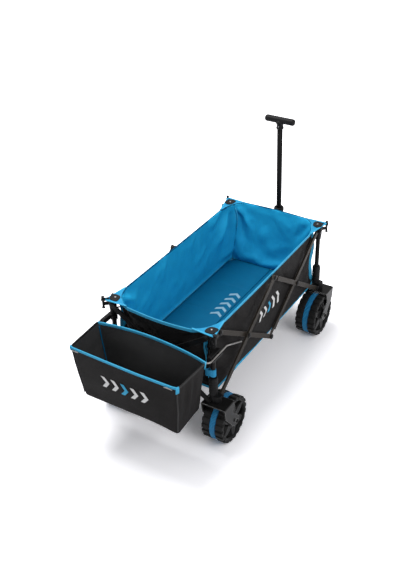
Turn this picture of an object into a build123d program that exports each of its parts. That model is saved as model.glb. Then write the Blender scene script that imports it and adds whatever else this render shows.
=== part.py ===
from build123d import *
import os
from math import cos, hypot, radians, sin

# A folding garden wagon: four telescoping posts joined by scissor links, a fabric body
# hung from the posts' caps, four wheels in forks, a telescopic pull handle, and a fabric
# bin hung on a wire frame behind. X points to the handle, Y to the wagon's left, Z up,
# and the ground is Z = 0. Millimetres.

os.makedirs("parts", exist_ok=True)

# ---- Driving dimensions -------------------------------------------------------------
FRAME_X = 92.5  # the posts' middle lies this far ahead of the whole part's middle
FRAME_LENGTH = 946.0  # between the posts' axes
FRAME_WIDTH = 466.0
POST_X = FRAME_LENGTH / 2
POST_Y = FRAME_WIDTH / 2
WHEEL_R = 101.6
KING_OUT = 19.0  # kingpin and wheel stand this far out from the post
WHEEL_Y = POST_Y + KING_OUT
WHEEL_HALF = 49.0
TRAIL = 48.0  # each axle stands this far in from its kingpin
AXLE_R = 6.0
FORK_TOP = 2 * WHEEL_R + 11.2
FOOT_Z = FORK_TOP + 1.2
LOW_Z = FOOT_Z + 10.4  # lower pivots of every scissor link
RISE = 307.0  # from the lower pivots to the upper ones, with the wagon open
HIGH_Z = LOW_Z + RISE
PIVOT_IN = 28.0  # side pivots stand this far in from their post
SIDE_SPAN = POST_X - PIVOT_IN  # one side link's reach along X
END_PIVOT_Y = SIDE_SPAN / 2  # so that the end links are as long as the side ones

LINK_H = 20.0  # flat tube of the links
LINK_T = 9.0
LAYER_GAP = 1.0  # between two links that cross
SIDE_FACE_IN = POST_Y + 1.5  # inner face of the inner side links
SIDE_FACE_OUT = SIDE_FACE_IN + LINK_T + LAYER_GAP
END_FACE_IN = POST_X + 18.5  # inner face of the inner end links
END_FACE_OUT = END_FACE_IN + LINK_T + LAYER_GAP
LAP = 38.0  # how far two links that share a joint are halved
LAP_GAP = 0.3
PIN_R = 4.0
RUN = 0.06  # radial running clearance at a pin
HEAD_R = 7.0
HEAD_T = 2.4
EAR_GAP = 0.5  # between an ear and the link on it

CAP_BOTTOM = HIGH_Z - 58.0
CAP_SHOULDER = HIGH_Z - 28.0  # the cap tapers up to here
CAP_TOP = HIGH_Z + 12.0
POST_R = 10.0  # outer tube
POST_WALL = 1.5
POST_BOTTOM = FOOT_Z + 30.4
POST_TOP = CAP_BOTTOM - 3.0
STEM_R = POST_R - POST_WALL - 0.3  # inner tube, which slides in the outer one
STEM_BOTTOM = POST_BOTTOM + 2.0
STEM_TOP = CAP_TOP - 4.0


# ---- Posts, feet and caps -----------------------------------------------------------
CORNERS = {"rr": (-1, -1), "rl": (-1, 1), "fr": (1, -1), "fl": (1, 1)}
FAR_BELOW = ("rl", "fl")  # corners whose lower end link is the outer one
FAR_ABOVE = ("rr", "fr")

SLEEVE_R = 17.0
BASE_H = 30.0
SLEEVE_TOP = FOOT_Z + 114.4
RIDGES = 6
RIDGE_PITCH = 12.0
RIDGE_H = 5.0
RIDGE_OUT = 1.6
KING_R = 8.0
KING_DEPTH = 24.0
EAR_R = LINK_H / 2
EAR_T = 8.5
END_EAR_START = 5.0
PIN_STOP = 9.5  # end pins stop short of the post's bore
CAP_R = 15.5
CAP_NECK_R = 12.2
CLEAT_OUT = 27.0  # cleat, out from the post along X and along Y
CLEAT_BOTTOM = HIGH_Z - 26.0
CLEAT_TOP = CLEAT_BOTTOM + 53.0
CLEAT_R = 4.5
CLEAT_FLANGE_R = 6.8
CLEAT_FLANGE_T = 3.5
ARM_W = 9.0
ARM_Z = HIGH_Z - 13.0
ARM_H = 12.0
SOFTEN = 1.5


def end_ear_depth(far):
    """How far an end ear reaches from the post's axis to the face of its link."""
    face = END_FACE_OUT if far else END_FACE_IN
    return face - EAR_GAP - POST_X


def add_end_ear(x, sx, sy, z, far):
    """An ear outside the post for an end link, with a blind hole for the link's pin."""
    depth = end_ear_depth(far)
    middle_y = sy * (POST_Y + END_PIVOT_Y) / 2
    start = Plane((x + sx * END_EAR_START, middle_y, z), x_dir=(0, 1, 0), z_dir=(sx, 0, 0))
    with BuildSketch(start) as ear:
        SlotCenterToCenter(abs(POST_Y - END_PIVOT_Y), 2 * EAR_R)
    extrude(ear.sketch, amount=depth - END_EAR_START)
    face = Plane((x + sx * depth, sy * END_PIVOT_Y, z), x_dir=(0, 1, 0), z_dir=(sx, 0, 0))
    with Locations(face):
        Hole(PIN_R + RUN, depth=depth - PIN_STOP)


def add_side_ear(x, sx, sy, z, inner_y):
    """A flat ear beside the post for a side link, bored for the link's pin."""
    pivot = Plane((x - sx * PIVOT_IN, sy * inner_y, z), x_dir=(1, 0, 0), z_dir=(0, sy, 0))
    with BuildSketch(pivot) as ear:
        Circle(EAR_R)
        with Locations((sx * PIVOT_IN / 2, 0)):
            Rectangle(PIVOT_IN, 2 * EAR_R)
    extrude(ear.sketch, amount=EAR_T)
    with Locations(pivot.offset(EAR_T)):
        Hole(PIN_R + RUN, depth=EAR_T)


def make_foot(tag, sx, sy):
    """Moulded foot: a ridged sleeve on the post, a kingpin bore and the lower ears."""
    x, y = FRAME_X + sx * POST_X, sy * POST_Y
    king_y = sy * WHEEL_Y
    with BuildPart() as foot:
        with BuildSketch(Plane((x, (y + king_y) / 2, FOOT_Z))):
            SlotCenterToCenter(WHEEL_Y - POST_Y, 2 * SLEEVE_R, rotation=90)
        extrude(amount=BASE_H)
        with BuildSketch(Plane((x, y, 0), x_dir=(1, 0, 0), z_dir=(0, -1, 0))):
            with Locations((SLEEVE_R / 2, (FOOT_Z + SLEEVE_TOP) / 2)):
                Rectangle(SLEEVE_R, SLEEVE_TOP - FOOT_Z)
            for ridge in range(RIDGES):
                with Locations((SLEEVE_R, SLEEVE_TOP - RIDGE_PITCH * (ridge + 0.75))):
                    Rectangle(2 * RIDGE_OUT, RIDGE_H)
        revolve(axis=Axis((x, y, 0), (0, 0, 1)))
        add_side_ear(x, sx, sy, LOW_Z, SIDE_FACE_OUT - EAR_GAP - EAR_T)
        add_end_ear(x, sx, sy, LOW_Z, tag in FAR_BELOW)
        with Locations((x, y, SLEEVE_TOP)):
            Hole(POST_R, depth=SLEEVE_TOP - POST_BOTTOM)
        with Locations(Plane((x, king_y, FOOT_Z), x_dir=(1, 0, 0), z_dir=(0, 0, -1))):
            Hole(KING_R + RUN, depth=KING_DEPTH)
        rims = foot.edges().filter_by(GeomType.CIRCLE).group_by(Axis.Z)[-1]
        chamfer(rims.sort_by(SortBy.RADIUS)[-1], SOFTEN)
    foot.part.label = f"foot_{tag}"
    export_step(foot.part, f"parts/foot_{tag}.step")


def make_post(tag, sx, sy):
    """The post's outer tube, pressed into the foot."""
    with BuildPart() as post:
        with BuildSketch(Plane((FRAME_X + sx * POST_X, sy * POST_Y, POST_BOTTOM))):
            Circle(POST_R)
            Circle(POST_R - POST_WALL, mode=Mode.SUBTRACT)
        extrude(amount=POST_TOP - POST_BOTTOM)
    post.part.label = f"post_{tag}"
    export_step(post.part, f"parts/post_{tag}.step")


def make_stem(tag, sx, sy):
    """The post's inner tube, which rises out of the outer one as the wagon folds."""
    with BuildPart() as stem:
        with BuildSketch(Plane((FRAME_X + sx * POST_X, sy * POST_Y, STEM_BOTTOM))):
            Circle(STEM_R)
            Circle(STEM_R - POST_WALL, mode=Mode.SUBTRACT)
        extrude(amount=STEM_TOP - STEM_BOTTOM)
    stem.part.label = f"stem_{tag}"
    export_step(stem.part, f"parts/stem_{tag}.step")


def make_cap(tag, sx, sy):
    """Moulded cap: a tapered socket on the inner tube, the upper ears and a cleat."""
    x, y = FRAME_X + sx * POST_X, sy * POST_Y
    reach = hypot(CLEAT_OUT, CLEAT_OUT)
    middle = Plane(
        (x + sx * CLEAT_OUT / 2, y + sy * CLEAT_OUT / 2, ARM_Z),
        x_dir=(sx, sy, 0),
        z_dir=(0, 0, 1),
    )
    cleat = Plane((x + sx * CLEAT_OUT, y + sy * CLEAT_OUT, 0), x_dir=(1, 0, 0), z_dir=(0, -1, 0))
    with BuildPart() as cap:
        with BuildSketch(Plane((x, y, 0), x_dir=(1, 0, 0), z_dir=(0, -1, 0))):
            with BuildLine():
                Polyline(
                    (0, CAP_BOTTOM),
                    (CAP_NECK_R, CAP_BOTTOM),
                    (CAP_R, CAP_SHOULDER),
                    (CAP_R, CAP_TOP - SOFTEN),
                    (CAP_R - SOFTEN, CAP_TOP),
                    (0, CAP_TOP),
                    close=True,
                )
            make_face()
        revolve(axis=Axis((x, y, 0), (0, 0, 1)))
        add_side_ear(x, sx, sy, HIGH_Z, SIDE_FACE_IN + LINK_T + EAR_GAP)
        add_end_ear(x, sx, sy, HIGH_Z, tag in FAR_ABOVE)
        with BuildSketch(middle):
            SlotCenterToCenter(reach, ARM_W)
        extrude(amount=ARM_H)
        with BuildSketch(cleat):
            with Locations((CLEAT_R / 2, (CLEAT_BOTTOM + CLEAT_TOP) / 2)):
                Rectangle(CLEAT_R, CLEAT_TOP - CLEAT_BOTTOM)
            for z in (CLEAT_BOTTOM + CLEAT_FLANGE_T / 2, CLEAT_TOP - CLEAT_FLANGE_T / 2):
                with Locations((CLEAT_FLANGE_R / 2, z)):
                    Rectangle(CLEAT_FLANGE_R, CLEAT_FLANGE_T)
        revolve(axis=Axis((x + sx * CLEAT_OUT, y + sy * CLEAT_OUT, 0), (0, 0, 1)))
        with Locations(Plane((x, y, CAP_BOTTOM), x_dir=(1, 0, 0), z_dir=(0, 0, -1))):
            Hole(STEM_R, depth=STEM_TOP - CAP_BOTTOM)
    cap.part.label = f"cap_{tag}"
    export_step(cap.part, f"parts/cap_{tag}.step")


for tag, (sx, sy) in CORNERS.items():
    make_foot(tag, sx, sy)
    make_post(tag, sx, sy)
    make_stem(tag, sx, sy)
    make_cap(tag, sx, sy)


# ---- Scissor links ------------------------------------------------------------------
# Every link is the same flat tube with rounded ends. Its rivets are formed in it and turn
# in the link or ear beside it. Where two links share a joint, both are halved.
LINK_L = hypot(SIDE_SPAN, HIGH_Z - LOW_Z)
UNDER_EAR = EAR_GAP + EAR_T  # from a link's face to the far face of its ear
YOKE_GAP = 1.0
YOKE_T = 4.0


def make_link(name, start, end, out, pins, heads, holes=(), lap=None):
    """A link from start to end, both on its inner face, with thickness along out.

    pins and heads are (station along the link, from, to), measured out of the inner face.
    holes are stations, and lap is (station, from, to) of the half that is cut away.
    """
    along = Vector(*end) - Vector(*start)
    face = Plane(start, x_dir=along, z_dir=out)
    with BuildPart() as link:
        with BuildSketch(face):
            with Locations((LINK_L / 2, 0)):
                SlotCenterToCenter(LINK_L, LINK_H)
        extrude(amount=LINK_T)
        if lap:
            station, low, high = lap
            inward = 1 if station == 0 else -1
            with BuildSketch(face.offset(low)):
                with Locations((station + inward * (LAP - LINK_H) / 2, 0)):
                    Rectangle(LAP + LINK_H, 2 * LINK_H)
            extrude(amount=high - low, mode=Mode.SUBTRACT)
        for station in holes:
            with BuildSketch(face):
                with Locations((station, 0)):
                    Circle(PIN_R + RUN)
            extrude(amount=LINK_T, mode=Mode.SUBTRACT)
        for radius, rounds in ((PIN_R, pins), (HEAD_R, heads)):
            for station, low, high in rounds:
                with BuildSketch(face.offset(low)):
                    with Locations((station, 0)):
                        Circle(radius)
                extrude(amount=high - low)
    link.part.label = name
    export_step(link.part, f"parts/{name}.step")


HALF = LINK_T / 2
OUTER_HEAD = (LINK_T, LINK_T + HEAD_T)
INNER_HEAD = (-LAP_GAP - HEAD_T, -LAP_GAP)
KEEP_OUTER = (0, HALF + LAP_GAP)
KEEP_INNER = (HALF - LAP_GAP, LINK_T)
THROUGH_CROSSING = (-LAYER_GAP - LINK_T, LAYER_GAP)

for side, sy in (("r", -1), ("l", 1)):
    out = (0, sy, 0)
    for number, sx in ((1, -1), (2, 1)):
        # outer pair: from the foot up to the joint in the middle, under the rim
        foot_end = (FRAME_X + sx * SIDE_SPAN, sy * SIDE_FACE_OUT, LOW_Z)
        rim_end = (FRAME_X, sy * SIDE_FACE_OUT, HIGH_Z)
        pins = [(0, -UNDER_EAR, LINK_T), (LINK_L / 2, *THROUGH_CROSSING)]
        heads = [(0, *OUTER_HEAD), (LINK_L / 2, *OUTER_HEAD)]
        if number == 1:
            pins.append((LINK_L, INNER_HEAD[0], LINK_T))
            heads += [(LINK_L, *OUTER_HEAD), (LINK_L, *INNER_HEAD)]
        make_link(
            f"link_{side}{number}",
            foot_end,
            rim_end,
            out,
            pins,
            heads,
            holes=() if number == 1 else (LINK_L,),
            lap=(LINK_L, *(KEEP_OUTER if number == 1 else KEEP_INNER)),
        )
    for number, sx in ((4, -1), (3, 1)):
        # inner pair: from the joint in the middle, below the body, up to the cap
        low_end = (FRAME_X, sy * SIDE_FACE_IN, LOW_Z)
        cap_end = (FRAME_X + sx * SIDE_SPAN, sy * SIDE_FACE_IN, HIGH_Z)
        beyond = LINK_T + UNDER_EAR + LAP_GAP
        pins = [(LINK_L, 0, beyond)]
        heads = [(LINK_L, beyond, beyond + HEAD_T)]
        if number == 4:
            pins.append((0, INNER_HEAD[0], LINK_T))
            heads += [(0, *OUTER_HEAD), (0, *INNER_HEAD)]
        make_link(
            f"link_{side}{number}",
            low_end,
            cap_end,
            out,
            pins,
            heads,
            holes=(LINK_L / 2,) if number == 4 else (0, LINK_L / 2),
            lap=(0, *(KEEP_OUTER if number == 4 else KEEP_INNER)),
        )

for end_name, sx in (("rear", -1), ("front", 1)):
    out = (sx, 0, 0)
    for letter, face_x, sy in (("a", END_FACE_IN, -1), ("b", END_FACE_OUT, 1)):
        low_end = (FRAME_X + sx * face_x, sy * END_PIVOT_Y, LOW_Z)
        high_end = (FRAME_X + sx * face_x, -sy * END_PIVOT_Y, HIGH_Z)
        into_ear = POST_X + PIN_STOP + LAP_GAP - face_x
        pins = [(0, into_ear, LINK_T), (LINK_L, into_ear, LINK_T)]
        heads = [(0, *OUTER_HEAD), (LINK_L, *OUTER_HEAD)]
        if letter == "a":
            tip = 2 * LINK_T + LAYER_GAP + LAP_GAP
            if end_name == "front":
                tip = tip + YOKE_GAP + YOKE_T
            pins.append((LINK_L / 2, 0, tip))
            heads.append((LINK_L / 2, tip, tip + HEAD_T))
        make_link(
            f"link_{end_name}_{letter}",
            low_end,
            high_end,
            out,
            pins,
            heads,
            holes=(LINK_L / 2,) if letter == "b" else (),
        )


# ---- Wheels and forks ---------------------------------------------------------------
FORK_IN = WHEEL_HALF + 3.0  # fork plates, either side of the wheel's middle
BARREL_R = WHEEL_R - 13.6
BARREL_WALL = 8.0
BARREL_HALF = WHEEL_HALF - 3.0
BAND_R = WHEEL_R - 3.2
BAND_HALF = 13.0
HUB_R = 19.0
HUB_HALF = FORK_IN - 1.2
SPOKES = 6
SPOKE_W = 19.0
SPOKE_T = 11.0
SPOKE_OUT = 34.0  # outer web starts this far from the wheel's middle
SPOKE_TWIST = 22.0
WEB_T = 5.0
WEB_IN = 34.0
TREAD_GAP = 0.5
LUGS = 20
LUG_W = 19.0
LUG_ROOT_R = WHEEL_R - 4.2

FORK_T = 4.0
FORK_BACK = 40.0  # top plate's edge beyond the kingpin, away from the axle
FORK_FRONT = 36.0
FORK_HUB_R = 24.0
FORK_WAIST = (26.0, 62.0)  # inboard edge, out from the axle and up from it
FORK_BULGE = (80.0, 60.0)  # outboard edge, likewise
FORK_BEND_R = 3.0
BOLT_R = 10.0
BOLT_T = 4.0


def make_core(tag, center, sy):
    """Wheel core: hub, twisted spokes and a barrel whose raised band shows in the tread."""
    face = Plane(center, x_dir=(1, 0, 0), z_dir=(0, sy, 0))
    with BuildPart() as core:
        with BuildSketch(face.offset(-BARREL_HALF)):
            Circle(BARREL_R)
            Circle(BARREL_R - BARREL_WALL, mode=Mode.SUBTRACT)
        extrude(amount=2 * BARREL_HALF)
        with BuildSketch(face.offset(-BAND_HALF)):
            Circle(BAND_R)
            Circle(BARREL_R - BARREL_WALL, mode=Mode.SUBTRACT)
        extrude(amount=2 * BAND_HALF)
        with BuildSketch(face.offset(-WEB_IN)):
            Circle(BARREL_R)
        extrude(amount=WEB_T)
        with BuildSketch(face.offset(-HUB_HALF)):
            Circle(HUB_R)
        extrude(amount=2 * HUB_HALF)
        with BuildSketch(face.offset(SPOKE_OUT)):
            with PolarLocations(BARREL_R / 2, SPOKES):
                Rectangle(BARREL_R - BARREL_WALL / 2, SPOKE_W, rotation=SPOKE_TWIST)
            Circle(BARREL_R - BARREL_WALL / 2, mode=Mode.INTERSECT)
        extrude(amount=SPOKE_T)
        with BuildSketch(face.offset(-HUB_HALF)):
            Circle(AXLE_R + RUN)
        extrude(amount=2 * HUB_HALF, mode=Mode.SUBTRACT)
    core.part.label = f"core_{tag}"
    export_step(core.part, f"parts/core_{tag}.step")


def make_tread(tag, center, sy):
    """Two rubber rings of blocks, half a pitch apart, either side of the core's band."""
    with BuildPart() as tread:
        for side in (-1, 1):
            start = Plane(center, x_dir=(1, 0, 0), z_dir=(0, side * sy, 0)).offset(BAND_HALF + TREAD_GAP)
            with BuildSketch(start):
                Circle(LUG_ROOT_R)
                with PolarLocations(LUG_ROOT_R, LUGS, start_angle=side * 90 / LUGS):
                    Rectangle(2 * LUG_W, LUG_W)
                Circle(WHEEL_R, mode=Mode.INTERSECT)
                Circle(BARREL_R, mode=Mode.SUBTRACT)
            extrude(amount=WHEEL_HALF - BAND_HALF - TREAD_GAP)
    tread.part.label = f"tread_{tag}"
    export_step(tread.part, f"parts/tread_{tag}.step")


def make_fork(tag, x, sx, sy):
    """Bent steel fork with its kingpin and the wheel's axle bolt."""
    king_y = sy * WHEEL_Y
    axle_x = x - sx * TRAIL
    with BuildPart() as fork:
        top_x = x + sx * (FORK_BACK - FORK_FRONT) / 2
        with BuildSketch(Plane((top_x, king_y, FORK_TOP - FORK_T))):
            RectangleRounded(FORK_BACK + FORK_FRONT, 2 * (FORK_IN + FORK_T), FORK_T)
        extrude(amount=FORK_T)
        for side in (-1, 1):
            plate = Plane((0, king_y + side * FORK_IN, 0), x_dir=(1, 0, 0), z_dir=(0, side, 0))
            up = plate.y_dir.Z
            with BuildSketch(plate):
                with BuildLine():
                    Polyline(
                        (x + sx * FORK_BACK, up * FORK_TOP),
                        (x - sx * FORK_FRONT, up * FORK_TOP),
                        (axle_x + sx * FORK_WAIST[0], up * (WHEEL_R + FORK_WAIST[1])),
                        (axle_x - sx * FORK_HUB_R * 0.8, up * (WHEEL_R + FORK_HUB_R * 0.6)),
                        (axle_x + sx * FORK_HUB_R * 0.8, up * (WHEEL_R - FORK_HUB_R * 0.6)),
                        (axle_x + sx * FORK_BULGE[0], up * (WHEEL_R + FORK_BULGE[1])),
                        close=True,
                    )
                make_face()
                with Locations((axle_x, up * WHEEL_R)):
                    Circle(FORK_HUB_R)
            extrude(amount=FORK_T)
        crown = fork.faces().filter_by(Axis.Z).sort_by(Axis.Z)[-1]
        bends = crown.edges().filter_by(Axis.X)
        fillet(bends, FORK_BEND_R)
        with BuildSketch(Plane((x, king_y, FORK_TOP - FORK_T))):
            Circle(KING_R)
        extrude(amount=FOOT_Z + KING_DEPTH - LAP_GAP - FORK_TOP + FORK_T)
        axle_start = Plane(
            (axle_x, king_y - sy * (FORK_IN + FORK_T + BOLT_T), WHEEL_R),
            x_dir=(1, 0, 0),
            z_dir=(0, sy, 0),
        )
        whole = 2 * (FORK_IN + FORK_T + BOLT_T)
        with BuildSketch(axle_start):
            Circle(AXLE_R)
        extrude(amount=whole)
        with BuildSketch(axle_start, axle_start.offset(whole - BOLT_T)):
            RegularPolygon(BOLT_R, 6)
        extrude(amount=BOLT_T)
    fork.part.label = f"fork_{tag}"
    export_step(fork.part, f"parts/fork_{tag}.step")


for tag, (sx, sy) in CORNERS.items():
    post_x = FRAME_X + sx * POST_X
    center = (post_x - sx * TRAIL, sy * WHEEL_Y, WHEEL_R)
    make_core(tag, center, sy)
    make_tread(tag, center, sy)
    make_fork(tag, post_x, sx, sy)


# ---- Pull handle --------------------------------------------------------------------
YOKE_X = FRAME_X + END_FACE_OUT + LINK_T + YOKE_GAP
YOKE_HALF = 19.0
CROSS_Z = (LOW_Z + HIGH_Z) / 2
YOKE_BOTTOM = LOW_Z + 17.0
HANDLE_OUT = 28.5  # handle pivot, out from the yoke's plate
HANDLE_X = YOKE_X + HANDLE_OUT
HANDLE_Z = LOW_Z + 36.0
YOKE_CHEEK_TOP = HANDLE_Z + 26.0
CHEEK_T = 4.5
CHEEK_FRONT = 15.0
LEAN = 1.9  # the handle rests this far back from upright
TUBE_R = 12.5
TUBE_BORE = 10.4
TUBE_START = 15.0
TUBE_LENGTH = 292.0  # from the pivot to the tube's end
PLUG_H = 26.0  # the flat tongue on the pivot runs this far into the tube
TONGUE_R = 11.0
TONGUE_HALF = 10.0
COLLAR_R = 17.5
COLLAR_START = TUBE_LENGTH - 8.0
COLLAR_END = TUBE_LENGTH + 11.0
ROD_R = 9.6
ROD_LENGTH = 444.0
ROD_START = TUBE_LENGTH - 24.0
ROD_END = ROD_START + ROD_LENGTH
GRIP_AXIS = ROD_END + 26.0
GRIP_R = 13.5
GRIP_HALF = 70.0
SOCKET_START = ROD_END - 22.0
SOCKET_R = 13.0
SOCKET_TOP_R = 16.0

lean = radians(LEAN)
handle_up = Vector(-sin(lean), 0, cos(lean))
handle_base = Plane((HANDLE_X, 0, HANDLE_Z), x_dir=(cos(lean), 0, sin(lean)), z_dir=handle_up)
handle_axis = Axis((HANDLE_X, 0, HANDLE_Z), handle_up)
handle_side = Plane(handle_base.origin, x_dir=handle_base.x_dir, z_dir=(0, -1, 0))

with BuildPart() as yoke:
    with BuildSketch(Plane((YOKE_X, 0, 0), x_dir=(0, 1, 0), z_dir=(1, 0, 0))):
        with Locations((0, (YOKE_BOTTOM + CROSS_Z) / 2)):
            Rectangle(2 * YOKE_HALF, CROSS_Z - YOKE_BOTTOM)
        with Locations((0, CROSS_Z)):
            Circle(YOKE_HALF)
            Circle(PIN_R + RUN, mode=Mode.SUBTRACT)
    extrude(amount=YOKE_T)
    for side in (-1, 1):
        cheek = Plane((0, side * (YOKE_HALF - CHEEK_T), 0), x_dir=(1, 0, 0), z_dir=(0, side, 0))
        up = cheek.y_dir.Z
        with BuildSketch(cheek):
            with BuildLine():
                Polyline(
                    (YOKE_X, up * YOKE_BOTTOM),
                    (HANDLE_X, up * (HANDLE_Z - CHEEK_FRONT)),
                    (HANDLE_X + CHEEK_FRONT, up * HANDLE_Z),
                    (YOKE_X, up * (YOKE_CHEEK_TOP + CHEEK_FRONT)),
                    close=True,
                )
            make_face()
            with Locations((HANDLE_X, up * HANDLE_Z)):
                Circle(CHEEK_FRONT)
        extrude(amount=CHEEK_T)
    with BuildSketch(Plane((HANDLE_X, -YOKE_HALF, HANDLE_Z), x_dir=(1, 0, 0), z_dir=(0, 1, 0))):
        Circle(PIN_R)
    extrude(amount=2 * YOKE_HALF)
yoke.part.label = "yoke"
export_step(yoke.part, "parts/yoke.step")

with BuildPart() as handle_tube:
    with BuildSketch(handle_side):
        Circle(TONGUE_R)
        with Locations((0, PLUG_H / 2)):
            Rectangle(2 * TONGUE_R, PLUG_H)
    extrude(amount=TONGUE_HALF, both=True)
    with BuildSketch(handle_base.offset(TUBE_START)):
        Circle(TUBE_R)
    extrude(amount=TUBE_LENGTH - TUBE_START)
    with Locations(handle_base.offset(TUBE_LENGTH)):
        Hole(TUBE_BORE, depth=TUBE_LENGTH - PLUG_H)
    with Locations(Plane((HANDLE_X, TUBE_R, HANDLE_Z), x_dir=(1, 0, 0), z_dir=(0, 1, 0))):
        Hole(PIN_R + RUN, depth=2 * TUBE_R)
handle_tube.part.label = "handle_tube"
export_step(handle_tube.part, "parts/handle_tube.step")

with BuildPart() as collar:
    with BuildSketch(handle_side):
        with BuildLine():
            Polyline(
                (TUBE_R, COLLAR_START),
                (COLLAR_R, COLLAR_START + SOFTEN),
                (COLLAR_R, COLLAR_END - SOFTEN),
                (COLLAR_R - SOFTEN, COLLAR_END),
                (ROD_R + LAP_GAP, COLLAR_END),
                (ROD_R + LAP_GAP, TUBE_LENGTH),
                (TUBE_R, TUBE_LENGTH),
                close=True,
            )
        make_face()
    revolve(axis=handle_axis)
collar.part.label = "collar"
export_step(collar.part, "parts/collar.step")

with BuildPart() as handle_rod:
    with BuildSketch(handle_base.offset(ROD_START)):
        Circle(ROD_R)
        Circle(ROD_R - POST_WALL, mode=Mode.SUBTRACT)
    extrude(amount=ROD_END - ROD_START)
handle_rod.part.label = "handle_rod"
export_step(handle_rod.part, "parts/handle_rod.step")

with BuildPart() as grip:
    with BuildSketch(handle_side):
        with BuildLine():
            Polyline(
                (0, SOCKET_START),
                (SOCKET_R, SOCKET_START),
                (SOCKET_R, SOCKET_START + PLUG_H / 2),
                (SOCKET_TOP_R, GRIP_AXIS),
                (0, GRIP_AXIS),
                close=True,
            )
        make_face()
    revolve(axis=handle_axis)
    bar_middle = handle_base.offset(GRIP_AXIS).origin
    bar_plane = Plane(bar_middle, x_dir=(1, 0, 0), z_dir=(0, 1, 0))
    with BuildSketch(bar_plane):
        Circle(GRIP_R)
    extrude(amount=GRIP_HALF, both=True)
    bar_ends = grip.edges().filter_by(GeomType.CIRCLE).group_by(Axis.Y)
    fillet(bar_ends[0] + bar_ends[-1], GRIP_R / 2)
    with Locations(Plane(handle_base.offset(SOCKET_START).origin, z_dir=-handle_up)):
        Hole(ROD_R, depth=ROD_END - SOCKET_START)
grip.part.label = "grip"
export_step(grip.part, "parts/grip.step")


# ---- Fabric body --------------------------------------------------------------------
# Six panels with a flat tab at each corner, so that each can crumple where it does on the
# folding wagon. The walls lean out to the rim, the side ones inside the links.
CLOTH = 3.0
FLOOR_Z = LOW_Z + 11.0
FLOOR_T = 4.0
RIM_Z = CAP_TOP
BODY_REAR = POST_X - 33.0  # floor's ends, behind and ahead of the frame's middle
BODY_FRONT = POST_X - 18.0
BODY_Y = POST_Y - 11.0
SIDE_RIM_X = POST_X - 19.0
SIDE_RIM_Y = POST_Y
END_RIM_X = END_FACE_IN - 3.5
END_RIM_Y = POST_Y - 29.0
SEAM = 0.5  # between panels
END_DROP = 0.8  # the end walls lean more, so their top edge starts lower
TAB_TIP = (POST_X + 23.0, POST_Y + 19.0)
TAB_LEG = 118.0  # along the side rims
TAB_LEG_END = 104.0  # along the end rims, where the tabs close up as the wagon folds
TAB_Z = RIM_Z + 0.3
TAB_T = 3.0

wall_h = RIM_Z - FLOOR_Z

for side, sy in (("right", -1), ("left", 1)):
    slope = Vector(0, sy * (SIDE_RIM_Y - BODY_Y), wall_h)
    foot_line = Plane((FRAME_X, sy * BODY_Y, FLOOR_Z), x_dir=(1, 0, 0), z_dir=Vector(1, 0, 0).cross(slope))
    with BuildPart() as wall:
        with BuildSketch(foot_line):
            with BuildLine():
                Polyline(
                    (-BODY_REAR + CLOTH + SEAM, 0),
                    (BODY_FRONT - CLOTH - SEAM, 0),
                    (SIDE_RIM_X, slope.length),
                    (-SIDE_RIM_X, slope.length),
                    close=True,
                )
            make_face()
        extrude(amount=sy * CLOTH)
    wall.part.label = f"wall_{side}"
    export_step(wall.part, f"parts/wall_{side}.step")

    with BuildPart() as floor:
        inner = BODY_Y - CLOTH - SEAM
        middle_x = FRAME_X + (BODY_FRONT - BODY_REAR) / 2
        with BuildSketch(Plane((middle_x, sy * (inner + SEAM) / 2, FLOOR_Z))):
            Rectangle(BODY_FRONT + BODY_REAR - 2 * (CLOTH + SEAM), inner - SEAM)
        extrude(amount=FLOOR_T)
    floor.part.label = f"floor_{side}"
    export_step(floor.part, f"parts/floor_{side}.step")

for end_name, sx, foot_x in (("rear", -1, BODY_REAR), ("front", 1, BODY_FRONT)):
    slope = Vector(sx * (END_RIM_X - foot_x), 0, wall_h - END_DROP)
    foot_line = Plane((FRAME_X + sx * foot_x, 0, FLOOR_Z), x_dir=(0, 1, 0), z_dir=Vector(0, 1, 0).cross(slope))
    with BuildPart() as wall:
        with BuildSketch(foot_line):
            with BuildLine():
                Polyline(
                    (-BODY_Y + CLOTH + SEAM, 0),
                    (BODY_Y - CLOTH - SEAM, 0),
                    (END_RIM_Y, slope.length),
                    (-END_RIM_Y, slope.length),
                    close=True,
                )
            make_face()
        extrude(amount=-sx * CLOTH)
    wall.part.label = f"wall_{end_name}"
    export_step(wall.part, f"parts/wall_{end_name}.step")

for tag, (sx, sy) in CORNERS.items():
    with BuildPart() as tab:
        tip_x, tip_y = FRAME_X + sx * TAB_TIP[0], sy * TAB_TIP[1]
        along_side = (tip_x - sx * TAB_LEG, sy * (SIDE_RIM_Y + CLOTH))
        along_end = (FRAME_X + sx * (END_RIM_X + CLOTH), tip_y - sy * TAB_LEG_END)
        bow = (tip_x - sx * TAB_LEG * 0.36, tip_y - sy * TAB_LEG * 0.40)
        with BuildSketch(Plane.XY.offset(TAB_Z)):
            with BuildLine():
                Polyline(along_side, (tip_x, tip_y), along_end)
                ThreePointArc(along_end, bow, along_side)
            make_face()
        extrude(amount=TAB_T)
    tab.part.label = f"tab_{tag}"
    export_step(tab.part, f"parts/tab_{tag}.step")


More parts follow.
